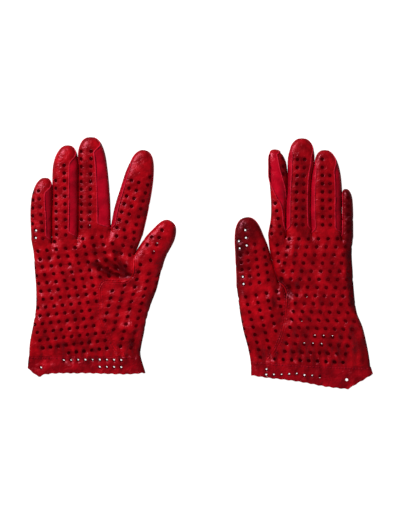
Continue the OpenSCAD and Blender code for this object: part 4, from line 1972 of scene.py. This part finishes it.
def right_glove() -> Hand:
    """The right-hand glove, on the -X side.

    Returns:
        The glove, ready to build.
    """
    s = Side.RIGHT
    digits = (
        Digit(s, "pinky", (-146.2, 19.0), 3.6, 59.3, 21.0,
              ((0, 0.4, 9.4), (15, -1.0, 9.8), (32, -1.9, 10.0), (45, -1.6, 9.5),
               (59.3, 0.3, 9.2)),
              (66, 205, 205, 335), (8, 34),
              (Column(-5.4, -6.5, 3.4, 12, 6.9, ((0, 12),)),
               Column(2.4, -7.2, 3.0, 48, 7.26), Column(-8.2, -10.9, 16.0, 46, 7.26)),
              tip_seams=(80, 205, 205, 335)),
        Digit(s, "ring", (-124.7, 22.5), 2.2, 85.6, 24.0,
              ((0, 0.3, 11.9), (20, -0.2, 12.1), (40, -0.6, 11.8), (60, -1.3, 11.7),
               (74, -1.0, 11.5), (85.6, 0.0, 11.4)),
              (77, 180, 250, 350), (9, 47),
              (Column(1.5, -4.0, 2.8, 70, 7.1), Column(-7.2, -12, 2.8, 56, 7.1))),
        Digit(s, "middle", (-97.2, 30.4), -0.6, 85.2, 20.0,
              ((0, 0.0, 15.0), (34, -0.1, 14.3), (59.5, -1.0, 12.9), (74.8, -2.3, 12.2),
               (85.2, -2.7, 12.4)),
              (82, 180, 245, 348), (9, 47),
              (Column(-12.0, -11.5, 2.2, 72, 6.97), Column(-4.4, -1.6, 2.2, 73, 6.97))),
        Digit(s, "index", (-67.1, 26.7), 12.9, 78.6, 28.0,
              ((0, -1.0, 15.0), (20, -1.35, 15.4), (43, -1.0, 14.2), (60, -1.1, 12.8),
               (78.6, -0.9, 12.4)),
              (8, 136, 215, 352), (9, 44),
              (Column(-10.5, -4.7, 3.2, 50, 7.55), Column(-3.3, 2.4, 2.7, 49, 7.55),
               Column(6.1, 10.6, 2.3, 57, 7.55))),
        Digit(s, "thumb", (-47.2, -0.3), 32.2, 43.6, 20.0,
              ((0, -0.9, 14.5), (10.8, -2.3, 12.7), (17.2, -2.6, 12.2), (30, -2.0, 10.9),
               (43.6, -2.8, 10.8)),
              (0, 180, 180, 360), (7, 25),
              (Column(0.9, -8.1, 3.0, 33, 7.25), Column(-8.6, -12.4, 14.0, 24, 7.6))),
    )
    return Hand(
        s, digits,
        ulnar=((-157.6, -86), (-156.8, -74), (-153.8, -58), (-151.2, -42), (-151.0, -24),
               (-152.2, -8), (-153.2, 8)),
        radial=((-50.2, -101.4), (-54.6, -86), (-54.2, -78), (-51.7, -66), (-49.1, -52),
                (-44.9, -37.9), (-39.6, -23.8)),
        palm_seam=((-68, -86), (-77.5, -80), (-82, -71), (-87.5, -60), (-91.3, -50),
                   (-91.6, -37), (-92, -24), (-87, -17.8), (-78.5, -18), (-68, -17),
                   (-61.6, -11), (-60.6, 0)),
        back_seam=((-68, -86), (-67, -62), (-65, -40), (-62.5, -18), (-61.5, 0)),
        web=((-56.6, 15.4),),
        hem_top=((-157.6, -86), (-112, -86.4), (-54.6, -86)),
        palm_hem=((-50.2, -100.6), (-69, -102.0), (-95, -101.2), (-117, -100.9),
                  (-139.6, -101.6), (-147.6, -103.9), (-149.6, -103.6), (-158.8, -96.6)),
        back_hem=((-50.2, -100.2), (-70, -100.6), (-112, -99.8), (-140, -98.6),
                  (-157.4, -96.2)),
        palm_holes=Lattice((-121.5, 5.7), (8.5, 0.87), (1.82, -7.2), (-0.12, 0.0)),
        index_holes=Lattice((-78.5, 17.0), (8.0, -1.4), (-1.9, -7.3)),
        gusset_holes=Lattice((-45.1, -3.5), (-9.6, 1.6), (-1.67, -6.83)),
        hem_rows=((-90.4, -125.4, -70.0, 6.6), (-97.0, -92.4, -68.0, 6.6),
                  (-96.6, -146.4, -144.0, 6.6)),
        creases=(
            Crease(((-96, -3), (-85, -9), (-73, -14), (-64, -12)), -3.2, 2.6),
            Crease(((-90, 6), (-80, -3), (-70, -9)), -2.6, 2.2),
            Crease(((-93, 1), (-83, -5.5), (-74, -10)), 1.4, 1.7),
            Crease(((-76, 8), (-72, -2), (-67, -8)), -2.8, 2.0),
            Crease(((-82, 6), (-76, -2), (-72, -8)), 1.2, 1.6),
            Crease(((-92, -13), (-80, -15.5), (-68, -16)), 1.2, 2.0),
            Crease(((-96, 14), (-94, 4), (-90, -4)), -1.0, 2.2),
            Crease(((-104, -8), (-96, -16), (-92, -28)), 0.9, 2.4),
            Crease(((-112, -30), (-106, -44), (-96, -52)), 0.7, 3.2),
            Crease(((-136, 0), (-128, -20), (-126, -44)), 0.5, 4.0),
            Crease(((-100, -78), (-104, -90)), 1.2, 2.2),
            Crease(((-88, -74), (-90, -92)), 1.0, 2.0),
            Crease(((-76, -86), (-74, -98)), 1.0, 1.8),
            Crease(((-62, -56), (-58, -72)), 0.9, 2.6),
            Crease(((-61.5, 14), (-61.2, 0), (-61.5, -10)), 0.8, 1.6),
            Crease(((-124, 22), (-118, 8), (-108, -10)), 0.7, 3.0),
            Crease(((-96, -48), (-98, -66), (-104, -82)), -0.8, 3.0),
            Crease(((-60, -70), (-66, -84)), -1.2, 3.0),
            Crease(((-132, -78), (-136, -90)), -0.8, 2.5),
        ),
        # painted shade (negative amounts) and painted highlights (positive amounts) along lines
        # of the palm side
        painted_light=(
            PaintedLight(((-92, -2), (-80, -6), (-70, -8)), -0.34, 7.0),
            PaintedLight(((-58, -76), (-54, -88), (-52, -98)), -0.35, 5.0),
            PaintedLight(((-106, 104), (-105, 34)), -0.2, 7.5),
            PaintedLight(((-141, 70), (-144, 24)), -0.12, 6.0),
            PaintedLight(((-88, 98), (-86, 36)), 0.16, 4.5),
            PaintedLight(((-63, 90), (-80, 40)), -0.18, 3.5),
            PaintedLight(((-60, -50), (-56, -68)), 0.2, 5.0),
            PaintedLight(((-104, -20), (-100, -44), (-112, -60)), 0.12, 9.0),
            PaintedLight(((-28, 34), (-38, 16)), 0.12, 5.0),
        ),
        pinholes=(),
        seed=21,
    )


def left_glove() -> Hand:
    """The left-hand glove, on the +X side.

    Returns:
        The glove, ready to build.
    """
    s = Side.LEFT
    digits = (
        Digit(s, "pinky", (136.4, 21.2), 0.4, 46.6, 12.0,
              ((0, -0.8, 5.2), (15, -0.8, 5.0), (25, -0.8, 4.9), (37, -1.3, 4.7),
               (46.6, -2.4, 4.7)),
              (-10, 150, 220, 350), (8, 27), (Column(0.5, -0.5, 7.4, 41, 7.7),),
              up=4.6, low=3.4),
        Digit(s, "ring", (117.1, 25.8), -0.6, 77.9, 28.0,
              ((0, -0.5, 14.1), (20, -0.9, 14.5), (42.5, -0.6, 14.4), (55, -0.5, 13.4),
               (66, -0.6, 12.6), (77.9, -1.6, 12.6)),
              (60, 131, 215, 350), (9, 44),
              (Column(-4.3, -4.0, 8.8, 70, 7.57), Column(2.8, 3.0, 8.8, 58, 7.57))),
        Digit(s, "middle", (90.9, 28.1), 0.6, 86.4, 24.0,
              ((0, 0.1, 12.0), (20, -0.6, 11.4), (40, -0.4, 11.1), (52, 0.2, 11.3),
               (62, 1.2, 12.2), (72, 1.8, 12.9), (86.4, 2.2, 13.2)),
              (47, 128, 220, 330), (9, 48),
              (Column(-3.0, -1.8, 6.6, 68, 7.5), Column(3.6, 4.8, 6.6, 68, 7.5))),
        Digit(s, "index", (70.9, 23.5), 0.4, 80.8, 16.0,
              ((0, -0.1, 8.0), (20, 0.9, 6.7), (44, 1.2, 7.9), (56, 0.7, 8.7),
               (67, 0.0, 8.4), (80.8, -2.6, 8.2)),
              (52, 208, 208, 356), (9, 45),
              (Column(4.2, -12.0, 2.9, 47, 7.0), Column(-5.2, -9.5, 2.9, 26, 7.0)),
              tip_seams=(196, 214, 214, 446), over=(Column(7.6, 5.0, 51, 76, 6.9),),
              fork_run=16.0, seam_close=0.3),
        Digit(s, "thumb", (53.9, -21.2), -9.0, 64.0, 26.0,
              ((0, -0.8, 19.4), (10.7, -0.75, 17.8), (25, -0.95, 16.1), (35, -1.1, 14.8),
               (44, -1.7, 13.5), (64, -1.8, 13.7)),
              (0, 180, 180, 360), (8, 34),
              (Column(-7.5, -3.3, 2.7, 53, 7.1, ((36, 54),)),
               Column(-13.6, -10.6, 3.6, 44, 6.6, ((0, 11), (35, 44))),
               Column(1.0, 3.2, 2.7, 40, 7.1), Column(9.6, 11.5, 3.6, 36, 7.1))),
    )
    return Hand(
        s, digits,
        ulnar=((157.0, -96), (156.0, -88), (154.0, -77), (149.8, -59.5), (144.2, -45),
               (141.6, -24), (140.7, -8), (139.8, 8)),
        radial=((47.0, -104), (46.5, -91), (43.6, -76.6), (39.8, -62.5), (36.6, -44.9)),
        palm_seam=((60.2, -91.4), (69, -80), (76.1, -62.5), (79, -45), (79.4, -28),
                   (76.5, -21.5)),
        back_seam=((62, -91.6), (63, -74), (65, -56), (68, -40), (71.5, -26)),
        web=((68.8, -6), (64.4, 10)),
        hem_top=((157.4, -96), (110, -94.6), (46.5, -91)),
        palm_hem=((47.0, -103.0), (62, -105.2), (79.6, -107.2), (97, -109.8), (115, -113.2),
                  (131, -115.2), (136.2, -115.4), (138.2, -114.2), (159.4, -101.8)),
        back_hem=((47.0, -102.6), (64, -104), (110, -105.0), (157.4, -100.6)),
        palm_holes=Lattice((96.7, 6.9), (8.8, 0.0), (-1.55, -7.4), (-0.07, -0.03)),
        index_holes=Lattice((71.0, 16.0), (8.4, 0.0), (0.6, -7.4)),
        gusset_holes=Lattice((42.1, -31.6), (9.5, 1.7), (1.7, -6.96)),
        hem_rows=((-98.2, 61.3, 64.0, 7.0), (-103.2, 61.1, 92.0, 7.04),
                  (-104.6, 96.3, 112.0, 7.04), (-108.0, 135.0, 137.0, 7.0)),
        creases=(
            Crease(((73, -14), (80, -22), (86, -30)), -2.8, 2.4),
            Crease(((74, -19), (80, -29), (84, -42)), -2.0, 2.0),
            Crease(((66, -12), (70, -24), (70, -40)), -1.6, 2.6),
            Crease(((60, -14), (64, -26), (66, -44)), 1.3, 2.2),
            Crease(((75, -2), (82, -14), (88, -18)), 1.0, 2.2),
            Crease(((104, -30), (110, -50), (108, -70)), 0.6, 3.4),
            Crease(((70, -60), (72, -76), (68, -92)), 0.9, 2.6),
            Crease(((132, 10), (134, -16), (137, -40)), 0.9, 2.4),
            Crease(((140, -62), (146, -76), (150, -92)), -1.1, 2.6),
            Crease(((134, -60), (138, -78), (140, -96)), 0.8, 2.4),
            Crease(((86, 22), (85, 0), (86, -30), (84, -70)), 0.9, 2.2),
            Crease(((56, -18), (60, -30), (58, -46)), 0.9, 4.0),
            Crease(((118, -70), (122, -84), (124, -96)), -0.9, 3.0),
            Crease(((136.5, 20), (137, 0), (138.5, -22), (142, -44)), -1.3, 2.4),
        ),
        # painted shade (negative amounts) and painted highlights (positive amounts) along lines
        # of the palm side
        painted_light=(
            PaintedLight(((36, 16), (38, 32), (49, 32)), -0.7, 13.0),
            PaintedLight(((35, 4), (36, -28)), -0.55, 5.5),
            PaintedLight(((54, 2), (52, -24), (48, -44)), 0.25, 7.0),
            PaintedLight(((137, 66), (137, 20), (139.5, -6), (142, -36)), -0.7, 5.5),
            PaintedLight(((78, -18), (82, -30)), -0.3, 6.0),
            PaintedLight(((93, 104), (91, 34)), -0.22, 6.0),
            PaintedLight(((112, 96), (111, 34)), -0.12, 5.0),
            PaintedLight(((122, 84), (124, 30)), 0.14, 4.0),
            PaintedLight(((67, 96), (76, 40)), 0.2, 4.0),
            PaintedLight(((76, 96), (80, 72)), -0.45, 4.0),
            PaintedLight(((150, -72), (156, -96)), -0.3, 5.0),
            PaintedLight(((58, -40), (56, -70)), 0.12, 7.0),
        ),
        pinholes=((97.3, -74.7), (105.0, -74.7), (112.7, -74.7), (105.8, -67.5),
                  (115.0, -67.5), (122.7, -67.5)),
        seed=52,
    )


# ---------------------------------------------------------------- studio


@dataclass(frozen=True)
class Studio:
    """Floor, light and camera, in metres and watts."""

    view_height: float = 0.4848
    view_middle: float = -0.0009
    distance: float = 2.2
    subject_height: float = 0.006
    sensor: float = 36.0
    key_place: tuple[float, float, float] = (-0.95, 0.95, 1.0)
    key_power: float = 27.0
    key_size: float = 0.5
    fill_place: tuple[float, float, float] = (1.0, -0.7, 1.1)
    fill_power: float = 1.6
    fill_size: float = 1.2
    world_strength: float = 0.13
    seen_strength: float = 0.93
    floor_half: float = 1.6
    floor_level: float = -0.0003
    floor_gray: float = 0.4

    def floor(self) -> None:
        """Lays the pale floor, which shines white to the camera but not on the gloves."""
        mesh = bpy.data.meshes.new("floor")
        half, z = self.floor_half, self.floor_level
        mesh.from_pydata([(-half, -half, z), (half, -half, z), (half, half, z),
                          (-half, half, z)], [], [(0, 1, 2, 3)])
        material = bpy.data.materials.new("floor_paper")
        material.use_nodes = True
        tree = material.node_tree
        shader = tree.nodes["Principled BSDF"]
        noise = node(tree, "ShaderNodeTexNoise")
        noise.inputs["Scale"].default_value = 40
        ramp = node(tree, "ShaderNodeMapRange")
        ramp.inputs["To Min"].default_value = 0.80
        ramp.inputs["To Max"].default_value = 0.90
        tree.links.new(noise.outputs["Fac"], ramp.inputs["Value"])
        tree.links.new(ramp.outputs["Result"], shader.inputs["Roughness"])
        shader.inputs["Base Color"].default_value = (*[self.floor_gray] * 3, 1)
        shader.inputs["Emission Color"].default_value = (1, 1, 1, 1)
        seen = node(tree, "ShaderNodeLightPath")
        tree.links.new(seen.outputs["Is Camera Ray"], shader.inputs["Emission Strength"])
        mesh.materials.append(material)
        obj = bpy.data.objects.new("floor", mesh)
        bpy.context.scene.collection.objects.link(obj)

    def area(self, name: str, place: tuple[float, float, float], power: float,
             size: float) -> None:
        """Adds a soft square light that looks at the gloves.

        Args:
            name: the light's name.
            place: where it hangs, m.
            power: its power, W.
            size: its width, m.
        """
        data = bpy.data.lights.new(name, "AREA")
        data.energy, data.size = power, size
        obj = bpy.data.objects.new(name, data)
        obj.location = place
        obj.rotation_euler = (-Vector(place)).to_track_quat("-Z", "Y").to_euler()
        bpy.context.scene.collection.objects.link(obj)

    def build(self) -> None:
        """Sets up floor, lights, surroundings and camera."""
        self.floor()
        self.area("key", self.key_place, self.key_power, self.key_size)
        self.area("fill", self.fill_place, self.fill_power, self.fill_size)
        world = bpy.data.worlds.new("studio")
        world.use_nodes = True
        background = world.node_tree.nodes["Background"]
        background.inputs["Color"].default_value = (1, 1, 1, 1)
        seen = node(world.node_tree, "ShaderNodeLightPath")
        level = node(world.node_tree, "ShaderNodeMapRange")
        level.inputs["To Min"].default_value = self.world_strength
        level.inputs["To Max"].default_value = self.seen_strength
        world.node_tree.links.new(seen.outputs["Is Camera Ray"], level.inputs["Value"])
        world.node_tree.links.new(level.outputs["Result"], background.inputs["Strength"])
        scene = bpy.context.scene
        scene.world = world
        scene.view_settings.view_transform = "Standard"
        data = bpy.data.cameras.new("camera")
        data.sensor_width = self.sensor
        data.lens = self.sensor * (self.distance - self.subject_height) / self.view_height
        camera = bpy.data.objects.new("camera", data)
        camera.location = (0, self.view_middle, self.distance)
        scene.collection.objects.link(camera)
        scene.camera = camera


def save_sizes() -> None:
    """Updates the view layer."""
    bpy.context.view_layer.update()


def main() -> None:
    """Builds both gloves and the studio."""
    logging.basicConfig(level=logging.INFO, format="%(message)s")
    kit = Kit()
    for glove in (right_glove(), left_glove()):
        glove.build(kit)
    Studio().build()
    save_sizes()


if __name__ == "__main__":
    main()
